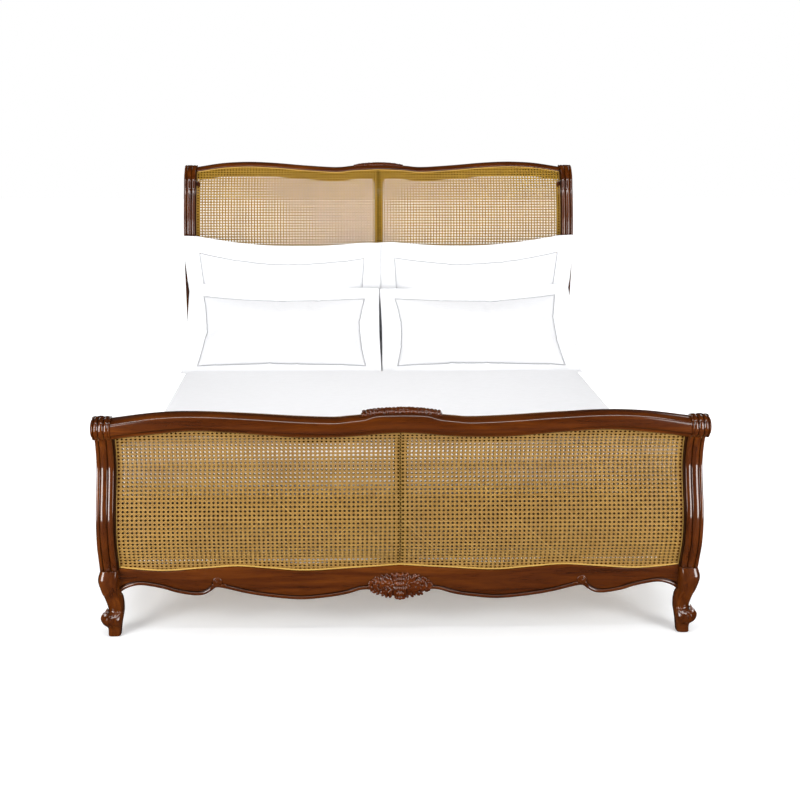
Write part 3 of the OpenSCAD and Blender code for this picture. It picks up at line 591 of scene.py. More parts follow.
set_camera()
set_world(backdrop=1.0, fill=0.20, room=0.02)
set_floor()
for name, place, target, size, power, mirrored in (
        ("key_left", (-3.0, -4.4, 3.0), (0.0, -0.6, 0.5), (1.4, 2.2), 45, True),
        ("key_right", (3.0, -4.4, 2.8), (0.0, -0.6, 0.5), (1.4, 2.2), 36, True),
        ("strip_left", (-2.0, -2.5, 0.75), (-0.6, -1.1, 0.45), (0.9, 1.5), 42, True),
        ("strip_right", (2.0, -2.5, 0.75), (0.6, -1.1, 0.45), (0.9, 1.5), 38, True),
        ("top_strip", (0.0, -2.1, 2.7), (0.0, -1.1, 0.6), (3.6, 0.22), 18, True),
        ("overhead", (0.0, -0.6, 3.8), (0.0, 0.9, 0.7), (3.6, 1.4), 42, False),
        ("head_glow", (0.0, -0.5, 2.3), (0.0, 1.05, 1.0), (2.6, 0.5), 18, False),
        ("back_left", (-3.8, 3.4, 2.8), (0.0, 0.4, 0.6), (2.0, 2.4), 34, True),
        ("back_right", (3.8, 3.4, 2.8), (0.0, 0.4, 0.6), (2.0, 2.4), 34, True)):
    softbox(name, place, target, size, power, mirrored)
scene = bpy.context.scene
scene.view_settings.view_transform = "Standard"
scene.view_settings.look = "None"


# ------------------------------------------------------------------ posts, legs and roll blocks
def reed(u, start, end, height):
    """Height of a half-round reed between two places on a face."""
    t = (u - start) / (end - start)
    return np.where((t > 0) & (t < 1), height * np.sqrt(np.clip(1 - (2 * t - 1) ** 2, 0, 1)), 0.0)


# Start, end and height of the three reeds across a post's face
REEDS = ((5.0, 22.0, 4.2), (22.0, 43.0, 5.2), (43.0, 54.0, 3.6))


def post_section(flange):
    """Closed outline [across from the inner edge, outward share -1..1] of a reeded post, with painted shade
    in its grooves and on its web.
    """
    u = np.concatenate([np.linspace(0.4, 5.0, 4), np.linspace(5.6, 21.4, 10), [22.0],
                        np.linspace(22.6, 42.4, 13), [43.0], np.linspace(43.5, 53.6, 9)])
    high = 21.6 + sum(reed(u, *r) for r in REEDS) - 1.6 * (u < 5.3)
    grooves = np.exp(-((u - 22.0) / 0.9) ** 2) + np.exp(-((u - 43.0) / 0.9) ** 2) + 0.8 * (u < 5.6)
    side = np.array([[54.0, v] for v in (19.0, 13.0, 11.4, 10.4, 0.0, -10.4, -11.4, -13.0, -19.0)])
    side[[2, 6], 0] -= 1.0
    front = np.column_stack([u, high])
    back = np.column_stack([u, -high])[::-1]
    web = np.array([[0.0, -15.0], [0.0, -11.2], [-15.0 * flange, -11.0], [-15.0 * flange, 11.0], [0.0, 11.2],
                    [0.0, 15.0]])
    # painted shade: the grooves between the reeds, the groove on each side and the web behind the cane
    dark = np.concatenate([grooves, [0, 0.3, 0.9, 0, 0, 0, 0.9, 0.3, 0], grooves[::-1],
                           [0.6, 0.8, 0.2, 0.2, 0.8, 0.6]])
    return np.concatenate([front, side, back, web]), np.clip(dark, 0, 1)


def post_mesh(b, s):
    """A post: its section swept up the S-curve, its top wrapped round the roll block."""
    rings, darks = [], []
    half = POST_T / 2
    stations = [(p - half * n, p + half * n, p[1]) for p, n in zip(b.line, normals_of(b.line))
                if p[1] < b.wrap]
    first_in, first_out = stations[-1][0], stations[-1][1]
    rise = b.roll[1] + ROLL_R - first_in[1]
    for k in range(1, 13):
        a = math.radians(90 - 7.5 * k)
        inner = np.array([b.roll[0] - (b.roll[0] - first_in[0]) * math.sin(a),
                          first_in[1] + rise * math.cos(a)])
        outer = first_out + (np.array(b.roll) - first_out) * (1 - math.sin(a)) ** 0.5
        stations.append((inner, outer, inner[1]))
    top_of_flange = at_x(b.low, 795) - 2
    for inner, outer, z in stations:
        section, dark = post_section(1.0 if 216 < z < top_of_flange else 0.02)
        fade = min(1.0, max(0.0, (z - BREAK_Z) / 7.0))
        v = section[:, 1] * (0.86 + 0.14 * fade)
        u = np.where(section[:, 0] > 0, 27 + (section[:, 0] - 27) * (0.95 + 0.05 * fade), section[:, 0])
        t = (v + half) / (2 * half)
        p = inner[None] + (outer - inner)[None] * t[:, None]
        rings.append(np.column_stack([s * (HALF_W + u), p]))
        # painted shade darkens the rings where the post stops above the knee
        darks.append(np.maximum(dark, 0.9 * (1 - fade)))
    return Shape().rings(rings, np.concatenate(darks))


def hump(angles, degrees, width):
    """Smooth rise round one direction."""
    off = (angles - math.radians(degrees) + math.pi) % (2 * math.pi) - math.pi
    return np.exp(-(off / width) ** 2)


def leg_mesh(b, s):
    """Cabriole leg with a knee, a ridge down its corner and a scroll toe."""
    front, inner = smooth(LEG_FRONT, 8), smooth(LEG_INNER, 8)
    shift = b.mid_low + POST_T / 2 + 11 - POST_OUT
    zs = np.concatenate([np.linspace(0.2, 3, 3), np.linspace(6, 30, 8), np.linspace(34, 80, 18),
                         np.linspace(84, 198, 34)])
    angles = np.linspace(0, 2 * math.pi, 56, endpoint=False)
    rings, darks = [], []
    for z in zs:
        far = np.interp(z, front[::-1, 1], front[::-1, 0])
        near = np.interp(z, inner[:, 1], inner[:, 0]) if z < 126 else HALF_W
        foot_edge = 1.2 * max(0.0, 1 - z / 3.0)
        x0, x1 = near + foot_edge, far - foot_edge
        w0, w1 = near + shift + foot_edge, far + shift - foot_edge
        if z > 126:
            blend_in = min(1.0, (z - 126) / 22.0)
            w0 = w0 + (b.inner_face - w0) * blend_in
        cx, cw, rx, rw = (x0 + x1) / 2, (w0 + w1) / 2, (x1 - x0) / 2, (w1 - w0) / 2
        power = 3.6 if z < 26 else 3.6 - 1.4 * min(1, (z - 26) / 30)
        power = power + max(0.0, (z - 120) / 60) * 1.6
        c, d = np.cos(angles), np.sin(angles)
        k = (np.abs(c) ** power + np.abs(d) ** power) ** (-1 / power)
        ridge, bead, gully = hump(angles, 45, 0.12), hump(angles, 128, 0.13), hump(angles, 112, 0.10)
        mid = max(0.0, 1 - abs(z - np.clip(z, 78, 150)) / 16)
        extra = (ridge + 2.4 * bead - 2.6 * gully) * mid
        rings.append(np.column_stack([s * (cx + (rx * k + extra) * c), cw + (rw * k + extra) * d,
                                      np.full(len(c), z)]))
        # painted shade in the gully beside the bead
        darks.append(0.8 * gully * mid)
    shape = Shape().rings(rings, np.concatenate(darks))
    # scroll toe: a roll set square to the outward diagonal, a spiral cut on each end
    far = np.interp(55, front[::-1, 1], front[::-1, 0])
    out = np.array([s, 1, 0]) / math.sqrt(2)
    axis = np.array([-s, 1, 0]) / math.sqrt(2)
    centre = np.array([s * (far - 20), far - 20 + shift, 54.0])
    up = np.array([0, 0, 1.0])

    def round_axis(t, r, along):
        return centre + along * axis + np.outer(r * np.cos(t), out) + np.outer(r * np.sin(t), up)

    t = np.linspace(0, 2 * math.pi, 36, endpoint=False)
    half_roll = ((17, 6), (16.5, 11), (14.5, 13.6), (8, 14.6))
    profile = [(-a, r) for a, r in half_roll] + [(0, 15.2)] + list(half_roll[::-1])
    shape.rings([round_axis(t, r, a) for a, r in profile])
    t = np.linspace(0, 2.3 * 2 * math.pi, 60)
    for end in (-1, 1):
        path = round_axis(t + 1.2, 12.5 - 9.5 * t / t[-1], end * 16.6)
        shape.strip(path, end * axis, ROUND * 1.7, taper=np.linspace(1.1, 0.7, 60))
        shape.ball(centre + end * 17.5 * axis, (4.0, 4.0, 4.0))
    # leaf that curls down into the scroll
    for turn, length in ((0.0, 30), (-0.5, 24), (0.5, 24)):
        way = math.cos(turn) * out + math.sin(turn) * axis
        t = np.linspace(0, 1, 14)
        path = centre + np.outer(-2 + 13 * np.sin(t * 1.6), way) + np.outer(length * (1 - t) + 2, up)
        shape.strip(path, way, ROUND * 3.0, taper=0.35 + 0.65 * np.sin(t * math.pi))
    return shape


# Unit circle that round strands, beads and cords are swept from
ROUND = np.array([[math.cos(a), math.sin(a)] for a in np.linspace(0, 2 * math.pi, 12, endpoint=False)])
# A roll block's [distance out along its axis, radius]: three reeds, a step and a button on its end
CAP_PROFILE = [[0, 24], [0.3, 31.2], [1.0, 33.2], [2.6, 33.4], [4.0, 31.6], [5.4, 30.2], [7.2, 30.4],
               [9.4, 32.2], [12.5, 33.0], [15.8, 32.6], [18.4, 31.0], [19.6, 29.4], [20.6, 29.2],
               [21.8, 30.8], [24.6, 32.6], [28.5, 33.1], [32.4, 32.6], [35.2, 30.9], [36.4, 29.3],
               [37.4, 29.3], [38.6, 30.8], [41.2, 32.3], [44.6, 32.8], [47.6, 32.0], [49.6, 30.2],
               [50.8, 29.6], [51.8, 31.6], [53.0, 33.2], [54.4, 32.9], [55.4, 30.2], [56.0, 27.4],
               [57.2, 26.0], [59.0, 24.6], [60.2, 22.4], [60.8, 20.2], [60.2, 18.6], [58.9, 17.4],
               [58.6, 15.6], [59.2, 13.8], [60.4, 11.8], [61.2, 9.0], [61.6, 5.0], [61.8, 1.6]]


def cap_mesh(b, s):
    """Turned roll block on a post's top."""
    t = np.linspace(0, 2 * math.pi, 72, endpoint=False)
    rings = [np.column_stack([np.full(72, s * (HALF_W + 0.92 * x)), b.roll[0] + r * np.cos(t),
                              b.roll[1] + r * np.sin(t)]) for x, r in CAP_PROFILE]
    x, r = np.array(CAP_PROFILE, float).T
    # painted shade in the grooves between the reeds and round the button on the end
    grooves = np.exp(-((r - 29.3) / 0.8) ** 2) * (x < 55) + 0.8 * np.exp(-((r - 16.5) / 1.5) ** 2)
    return Shape().rings(rings, np.repeat(np.clip(grooves, 0, 1), 72))


for b in boards:
    for s, side in ((-1, "left"), (1, "right")):
        post, cap = [f"{b.name}_post_{side}"], [f"{b.name}_cap_{side}"]
        sharp(post_mesh(b, s).build(f"{b.name}_post_reeded_{side}", wood_z, "mahogany", post, b), degrees=50)
        fuse(leg_mesh(b, s).build(f"{b.name}_leg_{side}", wood_z, "mahogany", (), b), voxel=0.0012, rounds=3)
        sharp(cap_mesh(b, s).build(f"{b.name}_roll_block_{side}", wood_x, "mahogany", cap, b), degrees=60)


# ------------------------------------------------------------------ rolled top rails
def add_flange(shape, line, extent, n, dark):
    """Edge between the two cane sheets, from low to high as extent(x) gives them."""
    rings = []
    for x in np.linspace(-785.8, 785.8, 120):
        z = np.linspace(*extent(x), n)
        out, back = (out_at(beside(line, d), z) for d in (CANE_GAP, -CANE_GAP))
        rings.append(np.column_stack([np.full(2 * n, x), np.append(out, back[::-1]), np.append(z, z[::-1])]))
    shape.rings(rings, dark)


def rail_mesh(b):
    """Wavy top rail rolled over outward, with a quirk under the roll and a flange behind the cane."""
    inner = beside(b.line, -CANE_GAP)
    deg = np.linspace(-90, 172, 46)
    c, d = np.cos(np.radians(deg)), np.sin(np.radians(deg))
    # a quirk cut along the lower front parts the roll from the bead under it
    quirk = np.exp(-((deg + 24) / 4.2) ** 2)
    bead = np.clip((-24 - deg) / 8, 0, 1) * np.clip((deg + 90) / 30, 0, 1)
    rings, darks = [], []
    for x in np.linspace(-800.5, 800.5, 181):
        top, low = at_x(b.top, x), at_x(b.low, x)
        edge = top - LIP
        near = out_at(inner, edge) - 5.5
        far = b.reach[0] + (b.reach[1] - b.reach[0]) * math.sin(math.radians(180 * abs(x) / 1138)) ** 2
        mid, half, zc, up = (near + far) / 2, (far - near) / 2, (top + low) / 2, (top - low) / 2
        back_z = np.linspace(edge, low, 6)
        back = np.column_stack([out_at(inner, back_z) + 0.3, back_z])
        ends = min(1.0, max(0.35, (abs(x) - 250) / 420))
        w = mid + half * np.sign(c) * np.abs(c) ** 0.8 - (3.2 * quirk * ends + 2.6 * bead) * c
        z = zc + up * np.sign(d) * np.abs(d) ** 0.8 + quirk * ends
        section = np.concatenate([back, np.column_stack([w, z]), [[near, edge]]])
        rings.append(np.column_stack([np.full(len(section), x), section]))
        # painted shade on the back behind the cane and in the quirk
        darks.append(np.concatenate([np.ones(6), 0.9 * quirk * ends, [0.3]]))
    shape = Shape().rings(rings, np.concatenate(darks))

    def extent(x):
        low = at_x(b.low, x)
        return low - (26 if b is foot or abs(x) < 24 else 9), low + 6

    # painted shade over the whole flange between the sheets
    add_flange(shape, b.line, extent, 6, 1.0)
    return shape


for b in boards:
    rail = rail_mesh(b).build(f"{b.name}_rolled_rail", wood_x, "mahogany", [f"{b.name}_top_rail"], b)
    sharp(rail, degrees=45)


# ------------------------------------------------------------------ shaped aprons
# Centre of an apron's C-scroll: distance from the bed's middle, and height
SCROLL_X, SCROLL_Z = 524.0, 158.5


def apron_mesh(b):
    """Bottom rail: a leaning board with a wavy bead along its lower edge and a flange behind the cane."""
    xs = np.concatenate([np.linspace(-HALF_W, -690, 38), np.linspace(-686, -450, 90),
                         np.linspace(-446, 446, 170), np.linspace(450, 686, 90),
                         np.linspace(690, HALF_W, 38)])
    slope = np.abs(np.gradient(at_x(apron_low, xs), xs))
    lean_k = np.minimum(np.sqrt(1 + slope ** 2), 1.35)
    # quirk and bead along the lower edge: [height above it, outward, painted shade]
    profile = [(15.0, 0.0, 0.0), (13.4, -0.9, 0.6), (12.2, -1.9, 1.0), (11.2, -1.2, 0.8), (10.2, 1.2, 0.2),
               (8.6, 2.9, 0.0), (6.6, 3.8, 0.0), (4.6, 3.9, 0.0), (2.8, 3.1, 0.0), (1.4, 1.4, 0.0),
               (0.4, -1.0, 0.2), (0.0, -4.5, 0.5)]
    rings, darks = [], []
    for x, k in zip(xs, lean_k):
        top, low = at_x(apron_top, x), at_x(apron_low, x)
        pts = [(b.inner_face, top), (b.front(top) - 6, top), (b.front(top) - 2.0, top - 0.3),
               (b.front(top) - 0.5, top - 1.5)]
        # painted shade on the round of the top edge
        dark = [0, 0.3, 0.2, 0]
        start = low + 15.0 * k
        for t in np.linspace(0.06, 0.96, 9):
            z = top - 1.5 + (start - top) * t
            pts.append((b.front(z) + 1.2 * math.sin(math.pi * t), z))
            dark.append(0)
        for dz, dw, shade in profile:
            z = low + dz * k
            pts.append((b.front(z) + dw, z))
            dark.append(shade)
        # painted shade on the underside towards the back
        pts += [(b.face - 22, low), (b.inner_face + 4, low + 0.5), (b.inner_face, low + 4)]
        dark += [0.4, 0.2, 0]
        rings.append([[x, w, z] for w, z in pts])
        darks.append(dark)
    shape = Shape().rings(rings, np.concatenate(darks))
    # painted shade, at part strength, on the flange behind the cane
    add_flange(shape, b.panel, lambda x: (at_x(apron_top, x) - 4, at_x(apron_top, x) + 15), 4, 0.6)
    # low disc behind each scroll, painted dark as the shade of a hollow
    for s in (-1, 1):
        shape.ball((s * (SCROLL_X + 1), b.front(158) - 0.2, SCROLL_Z), (15.5, 1.7, 15.5), u=28, dark=1.0)
    return shape


def scroll_mesh(b):
    """C-scrolls where the apron's lower bead turns up and curls over."""
    shape = Shape()
    for s in (-1, 1):
        t = np.linspace(0, 1, 70)
        turn = -0.6 + t * 2.15 * 2 * math.pi
        r = 12.5 * (1 - 0.80 * t)
        x, z = SCROLL_X - r * np.cos(turn), SCROLL_Z + r * np.sin(turn)
        path = np.column_stack([s * x, b.front(z) + 1.0 + 2.5 * t, z])
        shape.strip(path, (0, 1, 0), ROUND * 3.1, taper=np.linspace(1.15, 0.75, 70))
        shape.ball((s * SCROLL_X, b.front(158) + 3.0, SCROLL_Z), (3.6, 3.2, 3.6))
        lead_x = np.linspace(552, 533, 20)
        lead_z = np.interp(lead_x, [533, 540, 546, 552], [151, 139, 131, 127.5])
        path = np.column_stack([s * lead_x, b.front(lead_z) + 2.2, lead_z])
        shape.strip(path, (0, 1, 0), ROUND * 3.4, taper=np.linspace(0.5, 1.1, 20))
        shape.ball((s * 505.0, b.front(150) + 1.5, 147.5), (9.0, 2.6, 4.0))
    return shape


for b in boards:
    apron = apron_mesh(b).build(f"{b.name}_shaped_apron", wood_x, "mahogany", [f"{b.name}_apron"], b)
    sharp(apron, degrees=50)
    scrolls = scroll_mesh(b).build(f"{b.name}_apron_scrolls", wood_x, "mahogany", (), b)
    fuse(scrolls, voxel=0.0008, rounds=2)


# ------------------------------------------------------------------ carvings
def petal(v):
    """A unit ball pulled into a leaf: narrow at its root, a groove along its back."""
    out = v.copy()
    t = (v[:, 0] + 1) / 2
    out[:, 1] *= 0.45 + 0.75 * np.sin(math.pi * np.clip(t * 0.85 + 0.08, 0, 1))
    out[:, 2] += 0.35 * t ** 2 - 0.30 * np.exp(-(v[:, 1] / 0.22) ** 2) * (v[:, 2] > 0)
    return out


def leaf(shape, centre, way, face, length, width, height):
    """A petal at centre, its tip towards way, lying on a surface that looks along face."""
    face = np.asarray(face, float) / np.linalg.norm(face)
    way = np.asarray(way, float) - np.dot(way, face) * face
    way /= np.linalg.norm(way)
    side = np.cross(face, way)
    turn = np.column_stack([way, side, face])
    shape.ball(centre, (length / 2, width / 2, height / 2), turn, petal, 14, 9)


def cartouche_mesh(b):
    """Cluster of leaves and husks round a row of buds, on the apron's middle."""
    shape = Shape()
    draw = np.random.default_rng(21)
    mid_z, depth, face = 144.0, b.front, (0, 1, 0)
    whorls = ((0.98, 34, 15), (0.80, 30, 16), (0.62, 24, 16), (0.44, 18, 15), (0.27, 12, 13))
    for ring, (reach, count, size) in enumerate(whorls):
        for i in range(count):
            a = 2 * math.pi * (i + 0.5 * (ring % 2)) / count + draw.uniform(-0.05, 0.05)
            x, z = 88 * reach * math.cos(a), 36 * reach * math.sin(a)
            if z < 0:
                z *= 1.0 - 0.10 * abs(math.cos(a))
            lift_up = 3.0 + 8.5 * (1 - reach) ** 0.8 + draw.uniform(-0.8, 1.0)
            way = np.array([math.cos(a) * 1.1, 0, math.sin(a)]) + draw.uniform(-0.22, 0.22, 3) * [1, 0, 1]
            k = draw.uniform(0.85, 1.15)
            centre = (x, depth(mid_z + z) + lift_up, mid_z + z)
            leaf(shape, centre, way, face, size * k, size * 0.56 * k, 7.5)
    buds = ((178, 6.5, 6.0, 9), (166, 8.0, 7.5, 12.0), (152, 8.5, 8.5, 13.5), (137, 8.5, 9.0, 13.0),
            (121, 8.0, 9.0, 11.5), (107.5, 9.5, 7.0, 8.5))
    for z, rx, rz, out in buds:
        shape.ball((0, depth(z) + out, z), (rx * 0.62, 4.6, rz * 0.85))
        for s in (-1, 1):
            centre = (s * rx * 0.75, depth(z) + out - 1.5, z + 1)
            leaf(shape, centre, (s * 0.6, 0, -1), face, rz * 1.9, rx, 6.5)
    for s in (-1, 1):
        for i in range(5):
            a = 2 * math.pi * i / 5 + 0.3
            leaf(shape, (s * (50 + 6.5 * math.cos(a)), depth(154) + 9.5, 154 + 6.5 * math.sin(a)),
                 (math.cos(a), 0, math.sin(a)), face, 11.5, 8.5, 6)
        shape.ball((s * 50, depth(154) + 12.5, 154), (3.6, 3.2, 3.6))
    t = np.linspace(0, 2 * math.pi, 60, endpoint=False)
    rings = []
    for r, o in ((0.96, -5), (0.98, 1.0), (0.86, 4.0), (0.4, 8.0), (0.05, 9.0)):
        z = mid_z + 34 * r * np.sin(t)
        rings.append(np.column_stack([86 * r * np.cos(t), depth(z) + o, z]))
    return shape.rings(rings)


def crest_mesh(b, mid):
    """Leaves running out both ways from a flower, laid over a top rail's middle."""
    shape = Shape()
    draw = np.random.default_rng(33)
    seat = float(at_x(b.top, 60)) - 9
    peak = float(at_x(b.top, 0)) + 8.5

    def crown(x, w):
        """Height of the carving's rounded back."""
        along = math.sqrt(max(0.0, 1 - (x / 118) ** 2))
        return seat + (peak - seat) * along * math.sqrt(max(0.05, 1 - (w / 25.0) ** 2))

    for w, tilt in ((-17, -0.9), (-9, -0.45), (0, 0.0), (9, 0.45), (17, 0.9)):
        for i in range(21):
            x = -104 + 208 * i / 20 + draw.uniform(-2, 2)
            s = 1 if x >= 0 else -1
            face = np.array([0, math.sin(tilt), math.cos(tilt)])
            k = draw.uniform(0.85, 1.2) * (1 - 0.25 * abs(x) / 110)
            centre = (x, mid + w, crown(x, w) - 2.2 + draw.uniform(-0.6, 0.8))
            leaf(shape, centre, (s, draw.uniform(-0.5, 0.5), -0.1), face, 16 * k, 9.5 * k, 7)
    for i in range(7):
        a = 2 * math.pi * i / 7
        centre = (9 * math.cos(a), mid + 9 * math.sin(a), peak - 2.2)
        leaf(shape, centre, (math.cos(a), math.sin(a), 0), (0, 0, 1), 13, 9.5, 6)
    shape.ball((0, mid, peak - 0.8), (4.6, 4.6, 3.0))
    t = np.linspace(0, math.pi, 18)
    rings = []
    for x in np.linspace(-113, 113, 40):
        h = max(1.5, crown(x, 0) - seat - 4.0)
        w = np.concatenate([[mid + 19], mid + 18.5 * np.cos(t), [mid - 19]])
        z = np.concatenate([[seat - 2.5], seat + h * np.sin(t), [seat - 2.5]])
        rings.append(np.column_stack([np.full(20, x), w, z]))
    return shape.rings(rings)


for b, mid in ((foot, 14), (head, 104)):
    nodes = [f"{b.name}_crest_carving"]
    crest = crest_mesh(b, mid).build(f"{b.name}_crest_leaves", carved_wood, "mahogany", nodes, b)
    fuse(crest, voxel=0.0010, rounds=1, factor=0.4)
drop = cartouche_mesh(foot).build("foot_apron_leaves", carved_wood, "mahogany", ["foot_apron_carving"], foot)
fuse(drop, voxel=0.0009, rounds=1, factor=0.4)


# ------------------------------------------------------------------ woven cane
# Mesh across and up, a strand's width and half the distance between the strands of a pair
PITCH, ROW, STRAND, PAIR = 12.7, 11.55, 2.30, 1.48
# A strand's section: flat underneath, a ridge on top
RIDGE = np.array([[-0.5, 0.0], [0.5, 0.0], [0.0, 0.62]]) * [STRAND, 1.0]


def runs(mask):
    """First and last index of every unbroken stretch of True."""
    edge = np.flatnonzero(np.diff(np.concatenate([[0], mask.astype(int), [0]])))
    return [(a, z - 1) for a, z in edge.reshape(-1, 2) if z - a > 2]


def cane_mesh(b, side, x0, x1, draw):
    """One sheet of six-way cane between x0 and x1: upright and level pairs, then two slanting strands.

    The headboard's rear sheet is hung so that its holes line up with those in front of it.
    """
    sheet, ahead = beside(b.panel, side * CANE_GAP), beside(b.panel, -CANE_GAP)
    normal = normals_of(b.panel) * side
    lined_up = b is head and side > 0
    # the first is how much painted shade the strands' flat undersides get, the second how wide the strands
    # are
    back_shade, wide = (1.0, 1.0) if b is foot else (0.75, 1.06)
    arc = b.arc
    shape = Shape()
    fine = np.arange(0, arc[-1], 2.0)

    def shown(x, z):
        """Whether a place is inside the frame's opening."""
        high = at_x(b.low, x) + 5 if side > 0 else at_x(b.top, x) - LIP - 1.0
        return (z > at_x(apron_top, x) - 1.5) & (z < high)

    def line_up(x, s):
        """Where the sight line through a point of the sheet ahead meets this one: x and length along it."""
        eye_x, eye_w, eye_z = EYE[0] / MM, b.way * (EYE[1] / MM - b.y), EYE[2] / MM
        w0, z0 = np.interp(s, arc, ahead[:, 0]), np.interp(s, arc, ahead[:, 1])
        z, w = z0, w0
        for _ in range(6):
            w = np.interp(z, sheet[:, 1], sheet[:, 0])
            z = z0 + (w - w0) * (z0 - eye_z) / (w0 - eye_w)
        return eye_x + (x - eye_x) * (w - eye_w) / (w0 - eye_w), np.interp(z, sheet[:, 1], arc)

    def strand(x, s, lift_up):
        """One strand laid through x and s (lengths across and up the sheet), lift_up above it."""
        if lined_up:
            x, s = line_up(x, s)
        w, z, nw, nz = (np.interp(s, arc, v) for v in (*sheet.T, *normal.T))
        n = unit(np.column_stack([0 * nw, nw, nz]))
        path = np.column_stack([x, w, z]) + n * lift_up
        # painted shade on the two lower corners of each strand's section
        dark = np.tile([back_shade, back_shade, 0.0], len(x))
        shape.strip(path, n, RIDGE * wide, dark, draw.normal(0, 0.35))

    def rising(x_start, climb, lift_up):
        """Strand that starts at x_start and moves sideways by climb for every unit it rises."""
        x = x_start + climb * fine
        z = np.interp(fine, arc, sheet[:, 1])
        for a, c in runs((x > x0) & (x < x1) & shown(x, z)):
            s = np.linspace(fine[a], fine[c], max(3, int((fine[c] - fine[a]) / (PITCH * 1.5)) + 2))
            strand(x_start + climb * s, s, lift_up)

    for i in range(math.ceil((x0 + 1) / PITCH), math.floor((x1 - 1) / PITCH) + 1):
        for half in (-PAIR, PAIR):
            rising(i * PITCH + half, 0.0, 0.05)
    xs = np.arange(x0, x1, 4.0)
    for j in range(int(arc[-1] / ROW) + 1):
        for half in (-PAIR, PAIR):
            s = j * ROW + half
            if 0 < s < arc[-1]:
                for a, c in runs(shown(xs, np.interp(s, arc, sheet[:, 1]))):
                    x = np.linspace(xs[a], xs[c], max(3, int((xs[c] - xs[a]) / 120) + 2))
                    strand(x, np.full(len(x), s), 0.36)
    for way, lift_up in ((1, 0.72), (-1, 1.02)):
        climb = way * PITCH / ROW
        lowest = math.floor((x0 - max(climb, 0) * arc[-1]) / PITCH) - 1
        highest = math.ceil((x1 - min(climb, 0) * arc[-1]) / PITCH) + 1
        for i in range(lowest, highest):
            rising((i + 0.5) * PITCH, climb, lift_up)
    return shape


for b in boards:
    for side, place_name in ((1, "outer"), (-1, "inner")):
        draw = np.random.default_rng(100 + side + (10 if b is head else 0))
        node, skin = f"{b.name}_cane_{place_name}", cane_skin if b is foot else head_cane_skin
        for half_name, x0, x1 in (("left", -799.5, 0.0), ("right", 0.0, 799.5)):
            cane_mesh(b, side, x0, x1, draw).build(f"{node}_{half_name}", skin, "cane", [node], b)


# ------------------------------------------------------------------ splines round the cane
def spline_mesh(b, draw):
    """Half-round reed pressed in round both sheets of cane."""
    shape = Shape()
    half_round = np.array([[2.6 * math.cos(a), 2.2 * math.sin(a)] for a in np.linspace(0, math.pi, 9)])
    wide = HALF_W - 1.2
    for side in (1, -1):
        sheet = beside(b.panel, side * (CANE_GAP + 1.1))
        normal = normals_of(b.panel) * side

        def on_sheet(x, z):
            w, nw, nz = (np.interp(z, sheet[:, 1], v) for v in (sheet[:, 0], *normal.T))
            return np.column_stack([x, w, z]), np.column_stack([0 * x, nw, nz])

        x = np.linspace(-wide, wide, 240)
        high = at_x(b.low, x) - 3.6 if side > 0 else at_x(b.top, x) - LIP - 3.8
        low = at_x(apron_top, x) + 3.4
        for z in (low, high):
            shape.strip(*on_sheet(x, z), half_round, 0.0, draw.normal(0.2, 0.1))
        for s in (-1, 1):
            z = np.linspace(low[0], high[0], 70)
            path = on_sheet(np.full(70, s * (wide - 0.8)), z)
            # the side splines get a darker tone as painted shade from the posts beside them
            shape.strip(*path, half_round * 0.6, 0.0, draw.normal(-0.9, 0.1))
    return shape


spline_draw = np.random.default_rng(7)
for b in boards:
    nodes = [f"{b.name}_splines"]
    spline_mesh(b, spline_draw).build(f"{b.name}_cane_splines", spline_skin, "cane_spline", nodes, b)


# ------------------------------------------------------------------ base
# A side rail's two ends, lower edge and height
RAIL_Y0, RAIL_Y1, RAIL_Z, RAIL_H = -982.0, 1028.0, 168.0, 140.0


def side_rail_mesh(s):
    """Side rail with a bead and quirk run along both edges of its face."""
    quirk = 829.2
    edge = [(805.0, 1.5), (806.5, 0.0), (827.0, 0.0), (829.6, 1.4), (830.8, 3.6), (831.0, 6.0), (831.2, 9.5),
            (830.6, 12.5), (quirk, 14.0), (quirk, 15.2), (830.6, 16.2), (831.0, 18.5)]
    middle = RAIL_Z + RAIL_H / 2
    outline = [(x, RAIL_Z + d) for x, d in edge] + [(831.0, middle)]
    outline += [(x, RAIL_Z + RAIL_H - d) for x, d in edge[::-1]] + [(805.0, middle)]
    # painted shade in the quirks
    dark = [1.0 if x == quirk else 0.0 for x, z in outline]
    rings = [[(s * x, y, z) for x, z in outline] for y in np.linspace(RAIL_Y0, RAIL_Y1, 25)]
    return Shape().rings(np.array(rings) * MM, np.tile(dark, len(rings)))


for s, side in ((-1, "left"), (1, "right")):
    rail = side_rail_mesh(s).build(f"moulded_side_rail_{side}", wood_y, "mahogany", [f"side_rail_{side}"])
    sharp(rail, degrees=50)

# What the CAD's own pieces are made of, by the start of their names; the stiles get the darker mahogany as
# painted shade
finishes = {"ledger_screws": steel, "ledger_": pale_y, "centre_beam": pale_y, "support_leg_": pale_z,
            "slat_": pale_x, "cap_dowels": pale_z, "rail_hook_plates": steel, "post_slot_plates": steel,
            "plate_screws": steel, "shoe_screws": steel, "beam_shoe_": steel, "levelling_foot_": steel,
            "foot_stile": shaded_wood, "head_stile": shaded_wood}
for node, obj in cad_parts.items():
    found = [material for start, material in finishes.items() if node.startswith(start)]
    if found:
        obj.data.materials.clear()
        obj.data.materials.append(found[0])
        if not any(word in node for word in ("screw", "dowel", "stile")):
            eased = obj.modifiers.new("eased_edges", "BEVEL")
            eased.width, eased.segments, eased.limit_method = 0.0012, 2, "ANGLE"
            eased.angle_limit = math.radians(40)


# ------------------------------------------------------------------ bedding
# Heights of the mattress's and the cover's top
MATTRESS_TOP, COVER_TOP = 413.0, 433.0
# Radius of the cord on a pillow's seam, in metres
CORD_R = 0.0011


